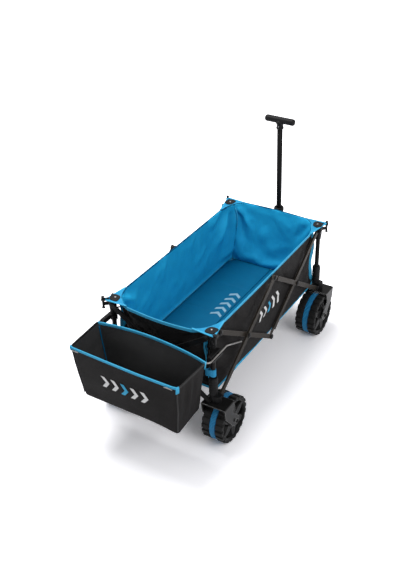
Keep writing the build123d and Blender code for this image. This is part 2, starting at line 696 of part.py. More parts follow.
# ---- Bin behind, on its wire frame --------------------------------------------------
HOOK_TOP = CAP_BOTTOM - 6.0
HOOK_BOTTOM = HOOK_TOP - 21.0
HOOK_R = 15.0
HOOK_SHELF = 6.4
HOOK_BACK = 56.0  # hook's shelf runs this far behind its post
WIRE_R = 3.5
WIRE_CLEAR = 0.25
WIRE_Y = POST_Y + 29.5
WIRE_Z = HOOK_BOTTOM + HOOK_SHELF + WIRE_R + 0.3
WIRE_BEND = 18.0
TAIL_BEND_X = POST_X - 55.0
TAIL_LENGTH = 115.0  # along X, from its bend
TAIL_DROP = 54.2
TAIL_END_X = TAIL_BEND_X - TAIL_LENGTH
TAIL_END_Z = WIRE_Z - TAIL_DROP
HOOK_WALL_OUT = WIRE_Y - WIRE_R - 0.6
HOOK_LIP_OUT = WIRE_Y + WIRE_R + 2.0
BIN_DEPTH = 185.0  # at the rim, from the wagon's side to the far side
BIN_HEIGHT = 248.0
BIN_STANDOFF = 82.0
BIN_BACK = POST_X + BIN_STANDOFF  # edge next to the wagon, behind the frame's middle
BIN_FRONT = BIN_BACK + BIN_DEPTH
BIN_TOP = WIRE_Z + 11.8
BIN_BOTTOM = BIN_TOP - BIN_HEIGHT
BIN_FOOT_BACK = BIN_BACK + 1.0
BIN_FOOT_FRONT = BIN_FRONT - 24.0
BIN_HALF_BACK = WIRE_Y - 8.5
BIN_HALF_FRONT = BIN_HALF_BACK - 8.0
BIN_FOOT_HALF = BIN_HALF_BACK - 31.0
STRAP_BOTTOM = SLEEVE_TOP + 7.0
STRAP_W = 34.0
STRAP_TOP = STRAP_BOTTOM + STRAP_W
STRAP_T = 1.8
STRAP_GAP = 0.2


def rear(distance):
    """X of something this far behind the frame's middle."""
    return FRAME_X - distance


with BuildPart() as bin_bag:
    with BuildSketch(Plane.XY.offset(BIN_BOTTOM)):
        with BuildLine():
            Polyline(
                (rear(BIN_FOOT_BACK), -BIN_FOOT_HALF),
                (rear(BIN_FOOT_FRONT), -BIN_FOOT_HALF),
                (rear(BIN_FOOT_FRONT), BIN_FOOT_HALF),
                (rear(BIN_FOOT_BACK), BIN_FOOT_HALF),
                close=True,
            )
        make_face()
    with BuildSketch(Plane.XY.offset(BIN_TOP)):
        with BuildLine():
            Polyline(
                (rear(BIN_BACK), -BIN_HALF_BACK),
                (rear(BIN_FRONT), -BIN_HALF_FRONT),
                (rear(BIN_FRONT), BIN_HALF_FRONT),
                (rear(BIN_BACK), BIN_HALF_BACK),
                close=True,
            )
        make_face()
    loft(ruled=True)
    mouth = bin_bag.faces().sort_by(Axis.Z)[-1]
    offset(amount=-CLOTH, openings=mouth)
bin_bag.part.label = "bin_bag"
export_step(bin_bag.part, "parts/bin_bag.step")

with BuildPart() as bin_frame:
    back_x = rear(BIN_BACK - WIRE_R - WIRE_CLEAR)
    with BuildLine() as route:
        FilletPolyline(
            (rear(TAIL_END_X), -WIRE_Y, TAIL_END_Z),
            (rear(TAIL_BEND_X), -WIRE_Y, WIRE_Z),
            (back_x, -WIRE_Y, WIRE_Z),
            (back_x, WIRE_Y, WIRE_Z),
            (rear(TAIL_BEND_X), WIRE_Y, WIRE_Z),
            (rear(TAIL_END_X), WIRE_Y, TAIL_END_Z),
            radius=WIRE_BEND,
        )
    with BuildSketch(Plane(route.line @ 0, z_dir=route.line % 0)):
        Circle(WIRE_R)
    sweep()
bin_frame.part.label = "bin_frame"
export_step(bin_frame.part, "parts/bin_frame.step")

for tag, sy in (("rr", -1), ("rl", 1)):
    x, y = rear(POST_X), sy * POST_Y
    length = HOOK_BACK + HOOK_R
    with BuildPart() as hook:
        with BuildSketch(Plane((x, y, HOOK_BOTTOM))):
            Circle(HOOK_R)
        extrude(amount=HOOK_TOP - HOOK_BOTTOM)
        wall_in = POST_Y + POST_R
        with BuildSketch(Plane((x + HOOK_R - length / 2, sy * (wall_in + HOOK_WALL_OUT) / 2, HOOK_BOTTOM))):
            Rectangle(length, HOOK_WALL_OUT - wall_in)
        extrude(amount=HOOK_TOP - HOOK_BOTTOM)
        with BuildSketch(Plane((x + HOOK_R - length / 2, sy * (wall_in + HOOK_LIP_OUT) / 2, HOOK_BOTTOM))):
            Rectangle(length, HOOK_LIP_OUT - wall_in)
        extrude(amount=HOOK_SHELF)
        with Locations((x, y, HOOK_TOP)):
            Hole(POST_R, depth=HOOK_TOP - HOOK_BOTTOM)
    hook.part.label = f"hook_{tag}"
    export_step(hook.part, f"parts/hook_{tag}.step")

with BuildPart() as strap:
    with BuildSketch(Plane((rear(POST_X), -POST_Y, STRAP_BOTTOM))):
        Circle(POST_R + STRAP_GAP + STRAP_T)
        Circle(POST_R + STRAP_GAP, mode=Mode.SUBTRACT)
    extrude(amount=STRAP_TOP - STRAP_BOTTOM)
strap.part.label = "strap"
export_step(strap.part, "parts/strap.step")
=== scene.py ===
import math

import bmesh
import bpy
from mathutils import Matrix, Vector, noise


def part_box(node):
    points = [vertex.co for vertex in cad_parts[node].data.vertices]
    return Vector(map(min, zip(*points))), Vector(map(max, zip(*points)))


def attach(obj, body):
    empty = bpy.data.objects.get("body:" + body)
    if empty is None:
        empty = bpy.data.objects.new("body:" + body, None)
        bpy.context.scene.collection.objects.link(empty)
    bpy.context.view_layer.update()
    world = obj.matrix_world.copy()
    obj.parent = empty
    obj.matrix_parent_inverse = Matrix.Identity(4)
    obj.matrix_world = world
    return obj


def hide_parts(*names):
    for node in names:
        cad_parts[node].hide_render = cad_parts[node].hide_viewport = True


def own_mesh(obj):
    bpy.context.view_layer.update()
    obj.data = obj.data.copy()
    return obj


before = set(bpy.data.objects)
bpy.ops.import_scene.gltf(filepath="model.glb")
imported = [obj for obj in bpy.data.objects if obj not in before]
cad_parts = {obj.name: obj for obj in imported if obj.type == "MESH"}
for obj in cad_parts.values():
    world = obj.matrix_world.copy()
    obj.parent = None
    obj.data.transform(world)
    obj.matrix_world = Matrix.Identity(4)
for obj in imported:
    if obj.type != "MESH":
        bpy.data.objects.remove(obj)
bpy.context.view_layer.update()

# ---------------------------------------------------------------- camera
# The camera stands behind the rear right wheel, above head height, and
# looks down into the open fabric body, with the pull handle far off.
eye = Vector((-2.5965, -1.585, 2.446))
heading = math.radians(32.31)
fall = math.radians(33.02)
lean = math.radians(-1.573)
ahead = Vector(
    (
        math.cos(heading) * math.cos(fall),
        math.sin(heading) * math.cos(fall),
        -math.sin(fall),
    )
)
level = ahead.cross(Vector((0, 0, 1))).normalized()
upward = level.cross(ahead)
across = level * math.cos(lean) + upward * math.sin(lean)
upright = upward * math.cos(lean) - level * math.sin(lean)
camera_data = bpy.data.cameras.new("camera")
camera_data.lens = 53.98
camera_data.sensor_width = 36.0


def shown(name, data):
    """A camera, a lamp or a mesh, put into the scene."""
    thing = bpy.data.objects.new(name, data)
    bpy.context.scene.collection.objects.link(thing)
    return thing


camera = shown("camera", camera_data)
camera.matrix_world = Matrix(
    (
        (across.x, upright.x, -ahead.x, eye.x),
        (across.y, upright.y, -ahead.y, eye.y),
        (across.z, upright.z, -ahead.z, eye.z),
        (0, 0, 0, 1),
    )
)
bpy.context.scene.camera = camera
bpy.context.scene.view_settings.view_transform = "Standard"

# ---------------------------------------------------------- studio ground
# A plain white ground sheet and a soft white studio. The sheet is a little
# brighter to the lens than to the object, and beyond about 0.45 m from its middle it also glows to the lens, more the
# further out it lies: painted light, so that it ends in plain white.
ground_mesh = bpy.data.meshes.new("ground")
ground_half = 30.0
ground_mesh.from_pydata(
    [
        (-ground_half, -ground_half, 0),
        (ground_half, -ground_half, 0),
        (ground_half, ground_half, 0),
        (-ground_half, ground_half, 0),
    ],
    [],
    [(0, 1, 2, 3)],
)
ground = shown("ground", ground_mesh)


def maths(tree, operation, first, second=None, clamp=False):
    """One step of arithmetic on numbers or sockets."""
    node = tree.nodes.new("ShaderNodeMath")
    node.operation = operation
    node.use_clamp = clamp
    for slot, value in enumerate((first, second)):
        if value is None:
            continue
        if isinstance(value, (int, float)):
            node.inputs[slot].default_value = value
        else:
            tree.links.new(value, node.inputs[slot])
    return node.outputs[0]


def between(tree, share, low, high):
    """A colour between two others."""
    node = tree.nodes.new("ShaderNodeMix")
    node.data_type = "RGBA"
    for slot, value in ((6, low), (7, high)):
        if isinstance(value, tuple):
            node.inputs[slot].default_value = (*value, 1)
        else:
            tree.links.new(value, node.inputs[slot])
    tree.links.new(share, node.inputs[0])
    return node.outputs[2]


def seen_by_lens(tree):
    """1 for rays from the lens, straight or by way of a gloss or a glass, and 0 for other light."""
    ray = tree.nodes.new("ShaderNodeLightPath").outputs
    by_way = maths(tree, "MAXIMUM", ray["Is Glossy Ray"], ray["Is Transmission Ray"])
    return maths(tree, "MAXIMUM", ray["Is Camera Ray"], by_way)


ground_paint = bpy.data.materials.new("ground sheet")
ground_paint.use_nodes = True
ground_tree = ground_paint.node_tree
ground_nodes, join_ground = ground_tree.nodes, ground_tree.links.new
ground_nodes.clear()
ground_seen = seen_by_lens(ground_tree)
ground_spot = ground_nodes.new("ShaderNodeTexCoord")
ground_plan = ground_nodes.new("ShaderNodeVectorMath")
ground_plan.operation = "MULTIPLY"
ground_plan.inputs[1].default_value = (0.85, 1.0, 0)
ground_reach = ground_nodes.new("ShaderNodeVectorMath")
ground_reach.operation = "LENGTH"
ground_fade = ground_nodes.new("ShaderNodeMapRange")
ground_fade.interpolation_type = "SMOOTHSTEP"
for label, value in (("From Min", 0.45), ("From Max", 1.25), ("To Max", 0.75)):
    ground_fade.inputs[label].default_value = value
ground_glow = ground_nodes.new("ShaderNodeEmission")
ground_matt = ground_nodes.new("ShaderNodeBsdfDiffuse")
ground_add = ground_nodes.new("ShaderNodeAddShader")
ground_out = ground_nodes.new("ShaderNodeOutputMaterial")
join_ground(between(ground_tree, ground_seen, (0.80, 0.80, 0.81), (1.35, 1.335, 1.37)), ground_matt.inputs["Color"])
join_ground(ground_spot.outputs["Object"], ground_plan.inputs[0])
join_ground(ground_plan.outputs[0], ground_reach.inputs[0])
join_ground(ground_reach.outputs["Value"], ground_fade.inputs["Value"])
join_ground(maths(ground_tree, "MULTIPLY", ground_fade.outputs[0], ground_seen), ground_glow.inputs["Strength"])
join_ground(ground_matt.outputs[0], ground_add.inputs[0])
join_ground(ground_glow.outputs[0], ground_add.inputs[1])
join_ground(ground_add.outputs[0], ground_out.inputs["Surface"])
ground_mesh.materials.append(ground_paint)

studio = bpy.data.worlds.new("studio")
bpy.context.scene.world = studio
studio.use_nodes = True
studio_nodes, join_studio = studio.node_tree.nodes, studio.node_tree.links.new
studio_nodes.clear()
studio_mix = studio_nodes.new("ShaderNodeMixShader")
studio_out = studio_nodes.new("ShaderNodeOutputWorld")
for slot, colour, strength in ((1, (0.97, 0.985, 1.0, 1), 0.5), (2, (1, 1, 1, 1), 1.0)):
    studio_light = studio_nodes.new("ShaderNodeBackground")
    studio_light.inputs["Color"].default_value = colour
    studio_light.inputs["Strength"].default_value = strength
    join_studio(studio_light.outputs[0], studio_mix.inputs[slot])
join_studio(seen_by_lens(studio.node_tree), studio_mix.inputs[0])
join_studio(studio_mix.outputs[0], studio_out.inputs["Surface"])


def softbox(name, place, aim, size, watts):
    """A rectangular lamp, turned to face its aim."""
    lamp = bpy.data.lights.new(name, "AREA")
    lamp.shape = "RECTANGLE"
    lamp.size, lamp.size_y = size
    lamp.energy = watts
    holder = shown(name, lamp)
    holder.location = place
    holder.rotation_euler = (Vector(aim) - Vector(place)).to_track_quat("-Z", "Y").to_euler()


softbox("overhead softbox", (0.15, 1.0, 3.2), (0.1, 0, 0.3), (1.8, 1.8), 90)
softbox("side softbox", (-0.9, -3.0, 2.7), (0.1, 0.1, 0.4), (2.4, 1.4), 55)

# ------------------------------------------------- feet, caps and hooks
# Black glass-filled nylon mouldings: ribbed feet on the posts, caps with
# cleats on top and two hooks for the bin. Fine moulded grain, rubbed edges.
def effect(name, takes, gives):
    """A shader group with the sockets it takes and gives."""
    tree = bpy.data.node_groups.new(name, "ShaderNodeTree")
    for label, kind, value in takes:
        socket = tree.interface.new_socket(label, in_out="INPUT", socket_type=kind)
        if value is not None:
            socket.default_value = value
    for label, kind in gives:
        tree.interface.new_socket(label, in_out="OUTPUT", socket_type=kind)
    return tree, tree.nodes.new("NodeGroupInput"), tree.nodes.new("NodeGroupOutput")


def speckle(tree, where, scale, detail=3.0, rough=0.5):
    """Cloudy noise at a place, from 0 to 1."""
    node = tree.nodes.new("ShaderNodeTexNoise")
    node.inputs["Detail"].default_value = detail
    node.inputs["Roughness"].default_value = rough
    if isinstance(scale, (int, float)):
        node.inputs["Scale"].default_value = scale
    else:
        tree.links.new(scale, node.inputs["Scale"])
    tree.links.new(where, node.inputs["Vector"])
    return node.outputs["Fac"]


# The edge mask: where the bevelled normal turns away from the face, broken up by noise. It marks rubbed wear on most
# finishes, and a painted highlight along the edges of the forks, the yoke and the links.
edge_wear_and_highlight, edge_in, edge_out = effect(
    "edge wear and painted highlight",
    [("Vector", "NodeSocketVector", None), ("Radius", "NodeSocketFloat", 0.001), ("Gain", "NodeSocketFloat", 3.0)],
    [("Wear and highlight", "NodeSocketFloat"), ("Normal", "NodeSocketVector")],
)
edge_round = edge_wear_and_highlight.nodes.new("ShaderNodeBevel")
edge_round.samples = 4
edge_flat = edge_wear_and_highlight.nodes.new("ShaderNodeNewGeometry")
edge_dot = edge_wear_and_highlight.nodes.new("ShaderNodeVectorMath")
edge_dot.operation = "DOT_PRODUCT"
edge_wear_and_highlight.links.new(edge_in.outputs["Radius"], edge_round.inputs["Radius"])
edge_wear_and_highlight.links.new(edge_round.outputs[0], edge_dot.inputs[0])
edge_wear_and_highlight.links.new(edge_flat.outputs["Normal"], edge_dot.inputs[1])
edge_turn = maths(edge_wear_and_highlight, "SUBTRACT", 1.0, edge_dot.outputs["Value"], clamp=True)
edge_gain = maths(edge_wear_and_highlight, "MULTIPLY", edge_turn, edge_in.outputs["Gain"])
edge_patch = speckle(edge_wear_and_highlight, edge_in.outputs["Vector"], 90.0, 4.0, 0.6)
wear_and_highlight_mask = maths(edge_wear_and_highlight, "MULTIPLY", edge_gain, edge_patch, clamp=True)
edge_wear_and_highlight.links.new(wear_and_highlight_mask, edge_out.inputs["Wear and highlight"])
edge_wear_and_highlight.links.new(edge_round.outputs[0], edge_out.inputs["Normal"])

moulded_grain, grain_in, grain_out = effect(
    "moulded grain",
    [("Vector", "NodeSocketVector", None), ("Scale", "NodeSocketFloat", 1400.0)],
    [("Height", "NodeSocketFloat"), ("Cloud", "NodeSocketFloat")],
)
grain_fine = speckle(moulded_grain, grain_in.outputs["Vector"], grain_in.outputs["Scale"], 2.0, 0.6)
grain_cloud = speckle(moulded_grain, grain_in.outputs["Vector"], 28.0, 3.0, 0.55)
moulded_grain.links.new(grain_fine, grain_out.inputs["Height"])
moulded_grain.links.new(grain_cloud, grain_out.inputs["Cloud"])


def finish(name, rough=0.5, **plain):
    """A new material; plain gives further values of its shader by their names."""
    material = bpy.data.materials.new(name)
    material.use_nodes = True
    shader = material.node_tree.nodes["Principled BSDF"]
    shader.inputs["Roughness"].default_value = rough
    for label, value in plain.items():
        shader.inputs[label.replace("_", " ")].default_value = value
    return material, material.node_tree, shader


def placed(tree, group, **values):
    """A shared effect set into a material."""
    node = tree.nodes.new("ShaderNodeGroup")
    node.node_tree = group
    for label, value in values.items():
        node.inputs[label].default_value = value
    return node


def on_object(tree):
    return tree.nodes.new("ShaderNodeTexCoord").outputs["Object"]


def raised(tree, shader, height, depth, over=None):
    """Fine relief on a finish, laid over a normal if one is given."""
    bump = tree.nodes.new("ShaderNodeBump")
    bump.inputs["Strength"].default_value = 1.0
    bump.inputs["Distance"].default_value = depth
    tree.links.new(height, bump.inputs["Height"])
    if over is not None:
        tree.links.new(over, bump.inputs["Normal"])
    tree.links.new(bump.outputs[0], shader.inputs["Normal"])


def hard_finish(name, dark, light, rough, edge_wear_and_highlight_tone, edge, grain, depth, **plain):
    """Plastic, paint, rubber or metal: cloudy tone, fine grain and a tone along the edges: rubbed wear on most
    finishes, a painted highlight on the forks and links.
    """
    material, tree, shader = finish(name, rough, **plain)
    where = on_object(tree)
    skin = placed(tree, moulded_grain, Scale=grain)
    edges_worn_and_lit = placed(tree, edge_wear_and_highlight, Radius=edge, Gain=3.2)
    tree.links.new(where, skin.inputs["Vector"])
    tree.links.new(where, edges_worn_and_lit.inputs["Vector"])
    clouded = between(tree, skin.outputs["Cloud"], dark, light)
    tone = between(tree, edges_worn_and_lit.outputs["Wear and highlight"], clouded, edge_wear_and_highlight_tone)
    tree.links.new(tone, shader.inputs["Base Color"])
    sheen_change = maths(tree, "MULTIPLY", skin.outputs["Cloud"], 0.22)
    tree.links.new(maths(tree, "ADD", sheen_change, rough - 0.11), shader.inputs["Roughness"])
    raised(tree, shader, skin.outputs["Height"], depth, edges_worn_and_lit.outputs["Normal"])
    return material


nylon = hard_finish(
    "black nylon", dark=(0.005, 0.005, 0.0055), light=(0.012, 0.012, 0.0125), rough=0.42, edge_wear_and_highlight_tone=(0.06, 0.06, 0.063),
    edge=0.0012, grain=1500.0, depth=0.00012, Specular_IOR_Level=0.09,
)


def dress(names, material):
    """Gives pieces of the frame their finish."""
    for name in names:
        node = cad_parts[name]
        node.data.materials.clear()
        node.data.materials.append(material)


corners = ("rr", "rl", "fr", "fl")
dress([f"foot_{corner}" for corner in corners], nylon)
dress([f"cap_{corner}" for corner in corners], nylon)
dress(("hook_rr", "hook_rl"), nylon)

# ----------------------------------------------------------------- posts
# Round steel tubes, powder coated black. The slim inner stem slides in the
# outer post as the wagon folds.
post_paint = hard_finish(
    "black powder coat", dark=(0.005, 0.005, 0.005), light=(0.010, 0.0095, 0.0095), rough=0.34,
    edge_wear_and_highlight_tone=(0.08, 0.078, 0.075), edge=0.001, grain=650.0, depth=0.00010, Specular_IOR_Level=0.06,
)
dress([f"post_{corner}" for corner in corners], post_paint)
dress([f"stem_{corner}" for corner in corners], post_paint)

# ----------------------------------------------------------- scissor links
# Flat steel bars, half-lapped and riveted where they cross: a double cross
# in dark brown-grey on each long side and one in black at each end.
# The pale edge tone is a painted highlight along the bars' edges.
link_paint_with_edge_highlight = hard_finish(
    "brown-grey powder coat, painted edge highlight", dark=(0.019, 0.0155, 0.0125), light=(0.033, 0.0278, 0.0235), rough=0.38,
    edge_wear_and_highlight_tone=(0.34, 0.32, 0.30), edge=0.0020, grain=700.0, depth=0.00012, Specular_IOR_Level=0.04,
)
dress([f"link_{side}{number}" for side in "rl" for number in "1234"], link_paint_with_edge_highlight)
dress([f"link_{end}_{side}" for end in ("rear", "front") for side in "ab"], post_paint)

# ----------------------------------------------------------------- forks
# Pressed steel forks over the wheels, powder coated in a smoother black
# than the posts. The rear pair is fixed and the front pair swivels.
# The near-white edge tone is a painted highlight along the plates' bends, not wear.
fork_paint_with_edge_highlight = hard_finish(
    "smooth black powder coat, painted edge highlight", dark=(0.006, 0.006, 0.006), light=(0.012, 0.012, 0.012), rough=0.24,
    edge_wear_and_highlight_tone=(0.80, 0.80, 0.80), edge=0.0028, grain=420.0, depth=0.00008, Specular_IOR_Level=0.08,
)
dress([f"fork_{corner}" for corner in corners], fork_paint_with_edge_highlight)

# ---------------------------------------------------------------- wheels
# Four wide wheels: a black moulded core with six turbine blades, a knurled
# blue band round its middle, and two black rubber rings of blocks on it.
wheel_band_r = 0.0984
wheel_band_half = 0.0128
band_seat_r = 0.0879
band_rows = 18
knurl_teeth = 100
knurl_slant = 30
knurl_rise, knurl_dip = 0.0008, -0.0016
core_turns, band_turns, tyre_turns = 300, 600, 160
tyre_inner, tyre_root = 0.0881, 0.0968
tyre_near, tyre_far = 0.0135, 0.0490
lug_count = 20
core_blue = hard_finish(
    "blue moulded plastic", dark=(0.012, 0.25, 0.53), light=(0.022, 0.33, 0.64), rough=0.42,
    edge_wear_and_highlight_tone=(0.07, 0.36, 0.64), edge=0.0008, grain=900.0, depth=0.00008,
)
# The band's blue, painted darker for the faces sunk in its knurl grooves: painted shade.
groove_shade_blue = hard_finish(
    "blue moulded plastic, painted groove shade", dark=(0.004, 0.085, 0.22), light=(0.008, 0.12, 0.28), rough=0.5,
    edge_wear_and_highlight_tone=(0.02, 0.16, 0.36), edge=0.0008, grain=900.0, depth=0.00008, Specular_IOR_Level=0.2,
)
core_black = hard_finish(
    "glossy black plastic", dark=(0.005, 0.005, 0.005), light=(0.010, 0.010, 0.010), rough=0.26,
    edge_wear_and_highlight_tone=(0.035, 0.035, 0.035), edge=0.0010, grain=700.0, depth=0.00005, Specular_IOR_Level=0.05,
)
rubber = hard_finish(
    "black rubber", dark=(0.006, 0.006, 0.006), light=(0.013, 0.013, 0.013), rough=0.5, edge_wear_and_highlight_tone=(0.025, 0.025, 0.025),
    edge=0.0016, grain=1100.0, depth=0.00016, Specular_IOR_Level=0.12,
)

copies = bpy.data.node_groups.new("set out copies", "GeometryNodeTree")
for label, kind, way in (
    ("Geometry", "NodeSocketGeometry", "INPUT"),
    ("Copy", "NodeSocketObject", "INPUT"),
    ("Size", "NodeSocketFloat", "INPUT"),
    ("Turn", "NodeSocketFloat", "INPUT"),
    ("Seed", "NodeSocketInt", "INPUT"),
    ("Finish", "NodeSocketMaterial", "INPUT"),
    ("Geometry", "NodeSocketGeometry", "OUTPUT"),
):
    copies.interface.new_socket(label, in_out=way, socket_type=kind)
copies_in, copies_out = copies.nodes.new("NodeGroupInput"), copies.nodes.new("NodeGroupOutput")
copies_object = copies.nodes.new("GeometryNodeObjectInfo")
copies_put = copies.nodes.new("GeometryNodeInstanceOnPoints")
copies_rotation = None
for label, axis, pivot in (("facing", "Z", "AUTO"), ("ahead", "X", "Z")):
    copies_read = copies.nodes.new("GeometryNodeInputNamedAttribute")
    copies_read.data_type = "FLOAT_VECTOR"
    copies_read.inputs["Name"].default_value = label
    copies_align = copies.nodes.new("FunctionNodeAlignRotationToVector")
    copies_align.axis, copies_align.pivot_axis = axis, pivot
    copies.links.new(copies_read.outputs["Attribute"], copies_align.inputs["Vector"])
    if copies_rotation is not None:
        copies.links.new(copies_rotation, copies_align.inputs["Rotation"])
    copies_rotation = copies_align.outputs["Rotation"]
copies_random = copies.nodes.new("FunctionNodeRandomValue")
copies_random.data_type = "FLOAT"
copies_span = maths(copies, "MULTIPLY", copies_in.outputs["Turn"], -1.0)
copies.links.new(copies_span, copies_random.inputs[2])
copies.links.new(copies_in.outputs["Turn"], copies_random.inputs[3])
copies.links.new(copies_in.outputs["Seed"], copies_random.inputs["Seed"])
copies_spin = copies.nodes.new("FunctionNodeAxisAngleToRotation")
copies_spin.inputs["Axis"].default_value = (0, 0, 1)
copies_turned = copies.nodes.new("FunctionNodeRotateRotation")
copies_turned.rotation_space = "LOCAL"
copies.links.new(copies_random.outputs[1], copies_spin.inputs["Angle"])
copies.links.new(copies_rotation, copies_turned.inputs["Rotation"])
copies.links.new(copies_spin.outputs[0], copies_turned.inputs["Rotate By"])
copies_real = copies.nodes.new("GeometryNodeRealizeInstances")
copies_finish = copies.nodes.new("GeometryNodeSetMaterial")
copies.links.new(copies_in.outputs["Copy"], copies_object.inputs["Object"])
copies.links.new(copies_object.outputs["Geometry"], copies_put.inputs["Instance"])
copies.links.new(copies_in.outputs["Geometry"], copies_put.inputs["Points"])
copies.links.new(copies_turned.outputs[0], copies_put.inputs["Rotation"])
copies.links.new(copies_in.outputs["Size"], copies_put.inputs["Scale"])
copies.links.new(copies_put.outputs[0], copies_real.inputs[0])
copies.links.new(copies_real.outputs[0], copies_finish.inputs["Geometry"])
copies.links.new(copies_in.outputs["Finish"], copies_finish.inputs["Material"])
copies.links.new(copies_finish.outputs[0], copies_out.inputs[0])


def set_out(name, places, pattern, material, size=1.0, turn=0.0, seed=3):
    """One mesh of copies of the pattern at (point, facing, ahead) places."""
    mesh = bpy.data.meshes.new(name + " places")
    mesh.from_pydata([point for point, _, _ in places], [], [])
    for label, number in (("facing", 1), ("ahead", 2)):
        layer = mesh.attributes.new(label, "FLOAT_VECTOR", "POINT")
        layer.data.foreach_set("vector", [value for place in places for value in place[number]])
    holder = shown(name, mesh)
    modifier = holder.modifiers.new("copies", "NODES")
    modifier.node_group = copies
    given = {"Copy": pattern, "Size": size, "Turn": turn, "Seed": seed, "Finish": material}
    for item in copies.interface.items_tree:
        if item.in_out == "INPUT" and item.name in given:
            modifier[item.identifier] = given[item.name]
    made = bpy.data.meshes.new_from_object(holder.evaluated_get(bpy.context.evaluated_depsgraph_get()))
    holder.modifiers.remove(modifier)
    holder.data = made
    made.name = name
    return holder


def smooth_mesh(name, shape, *materials):
    """The mesh of a finished shape, shaded smooth and in its finish."""
    mesh = bpy.data.meshes.new(name)
    shape.to_mesh(mesh)
    shape.free()
    mesh.shade_smooth()
    for material in materials:
        mesh.materials.append(material)
    return mesh


def pattern_block(name, size, bevel, taper=1.0, segments=2):
    """A rounded block standing on its own origin, kept out of the picture, to be copied."""
    shape = bmesh.new()
    bmesh.ops.create_cube(shape, size=1.0)
    for vert in shape.verts:
        narrow = taper if vert.co.z > 0 else 1.0
        vert.co = Vector((vert.co.x * size[0] * narrow, vert.co.y * size[1] * narrow, (vert.co.z + 0.5) * size[2]))
    bmesh.ops.bevel(
        shape, geom=list(shape.edges), offset=bevel, segments=segments, profile=0.6, affect="EDGES", clamp_overlap=True
    )
    block = shown(name, smooth_mesh(name, shape))
    block.hide_render = True
    return block


lug_block = pattern_block("tread block pattern", (0.0350, 0.0186, 0.0064), 0.0018, 0.94)
stud_block = pattern_block("tread stud pattern", (0.0044, 0.0044, 0.0022), 0.0012)


def skin(name, rings, material, endless=False):
    """A solid drawn over rings of points, closed by its end rings or by joining the last to the first."""
    shape = bmesh.new()
    loops = [[shape.verts.new(point) for point in ring] for ring in rings]
    for near, far in zip(loops, loops[1:] + loops[:1] if endless else loops[1:]):
        for place in range(len(near)):
            shape.faces.new((near[place - 1], near[place], far[place], far[place - 1]))
    if not endless:
        shape.faces.new(loops[0])
        shape.faces.new(loops[-1])
    bmesh.ops.recalc_face_normals(shape, faces=shape.faces)
    return shown(name, smooth_mesh(name, shape, material))


def blade_depth(radius, turn):
    """How deep the core's outer face lies under its plane: six windows, each a slanting blade."""
    reach = (radius - 0.0350) / 0.0440
    if not 0 < reach < 1.03:
        return 0.0
    wide = math.radians(3 + 21 * reach)
    across = (turn + math.radians(30)) % math.radians(60) - math.radians(30)
    place = across / wide
    if abs(place) >= 1:
        return 0.0
    rim = min(1.0, (1.03 - reach) / 0.07, reach / 0.05)
    return (0.004 + 0.024 * min(1.0, (1 - place) / 2)) * min(1.0, (1 + place) * 5) * rim


def wheel_hub(corner):
    """The middle of a wheel, on its axle."""
    low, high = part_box(f"tread_{corner}")
    return (Vector(low) + Vector(high)) / 2


def on_wheel(hub, out, radius, width, turn):
    """A place on a wheel: its distance from the axle, how far outwards along it, and its turn."""
    return hub + Vector((radius * math.cos(turn), out * width, radius * math.sin(turn)))


def wheel_ring(hub, out, radius, width, turns, windows=False):
    """A ring of points round a wheel, which dips behind the blades in the six windows."""
    ring = []
    for step in range(turns):
        turn = math.tau * step / turns
        dip = blade_depth(radius, turn * -out) if windows else 0.0
        ring.append(on_wheel(hub, out, radius, width - dip, turn))
    return ring


def knurled_ring(hub, out, row):
    """A ring of the blue band, with slanting teeth on all but its first and last row."""
    width = -wheel_band_half + 2 * wheel_band_half * row / band_rows
    ring = []
    for step in range(band_turns):
        turn = math.tau * step / band_turns
        tooth = (turn * knurl_teeth / math.tau + abs(width) * knurl_slant) % 1
        radius = wheel_band_r + (knurl_rise if tooth < 0.55 else knurl_dip)
        if row in (0, band_rows):
            radius = wheel_band_r - 0.0022
        ring.append(on_wheel(hub, out, radius, width, turn))
    return ring


window_inner, window_outer = 0.0342, 0.0809
hub_profile = [(0.0062, 0.0500), (0.0120, 0.0500), (0.0150, 0.0492), (0.0165, 0.0455), (0.0300, 0.0450)]
hub_profile += [(0.0335, 0.0440)]
hub_profile += [(window_inner + 0.0466 * step / 26, 0.0432 + 0.0012 * step / 26) for step in range(27)]
rim_profile = [(0.0822, 0.0452), (0.0836, 0.0474), (0.0866, 0.0476), (0.0878, 0.0462), (0.0878, -0.0462)]
rim_profile += [(0.0866, -0.0474), (0.0836, -0.0474), (0.0812, -0.0440), (0.0800, -0.0360), (0.0790, -0.0340)]
rim_profile += [(0.0260, -0.0340), (0.0200, -0.0370), (0.0188, -0.0500), (0.0062, -0.0506)]
tyre_profile = [
    (tyre_inner, tyre_near),
    (tyre_root - 0.0010, tyre_near),
    (tyre_root, tyre_near + 0.0012),
    (tyre_root, tyre_far - 0.0070),
    (tyre_root - 0.0016, tyre_far - 0.0030),
    (tyre_root - 0.0045, tyre_far - 0.0004),
    (tyre_inner + 0.0020, tyre_far - 0.0006),
    (tyre_inner, tyre_far - 0.0020),
]
wheel_bodies = {
    "rr": "wheel_rear_right",
    "rl": "wheel_rear_left",
    "fr": "wheel_front_right",
    "fl": "wheel_front_left",
}
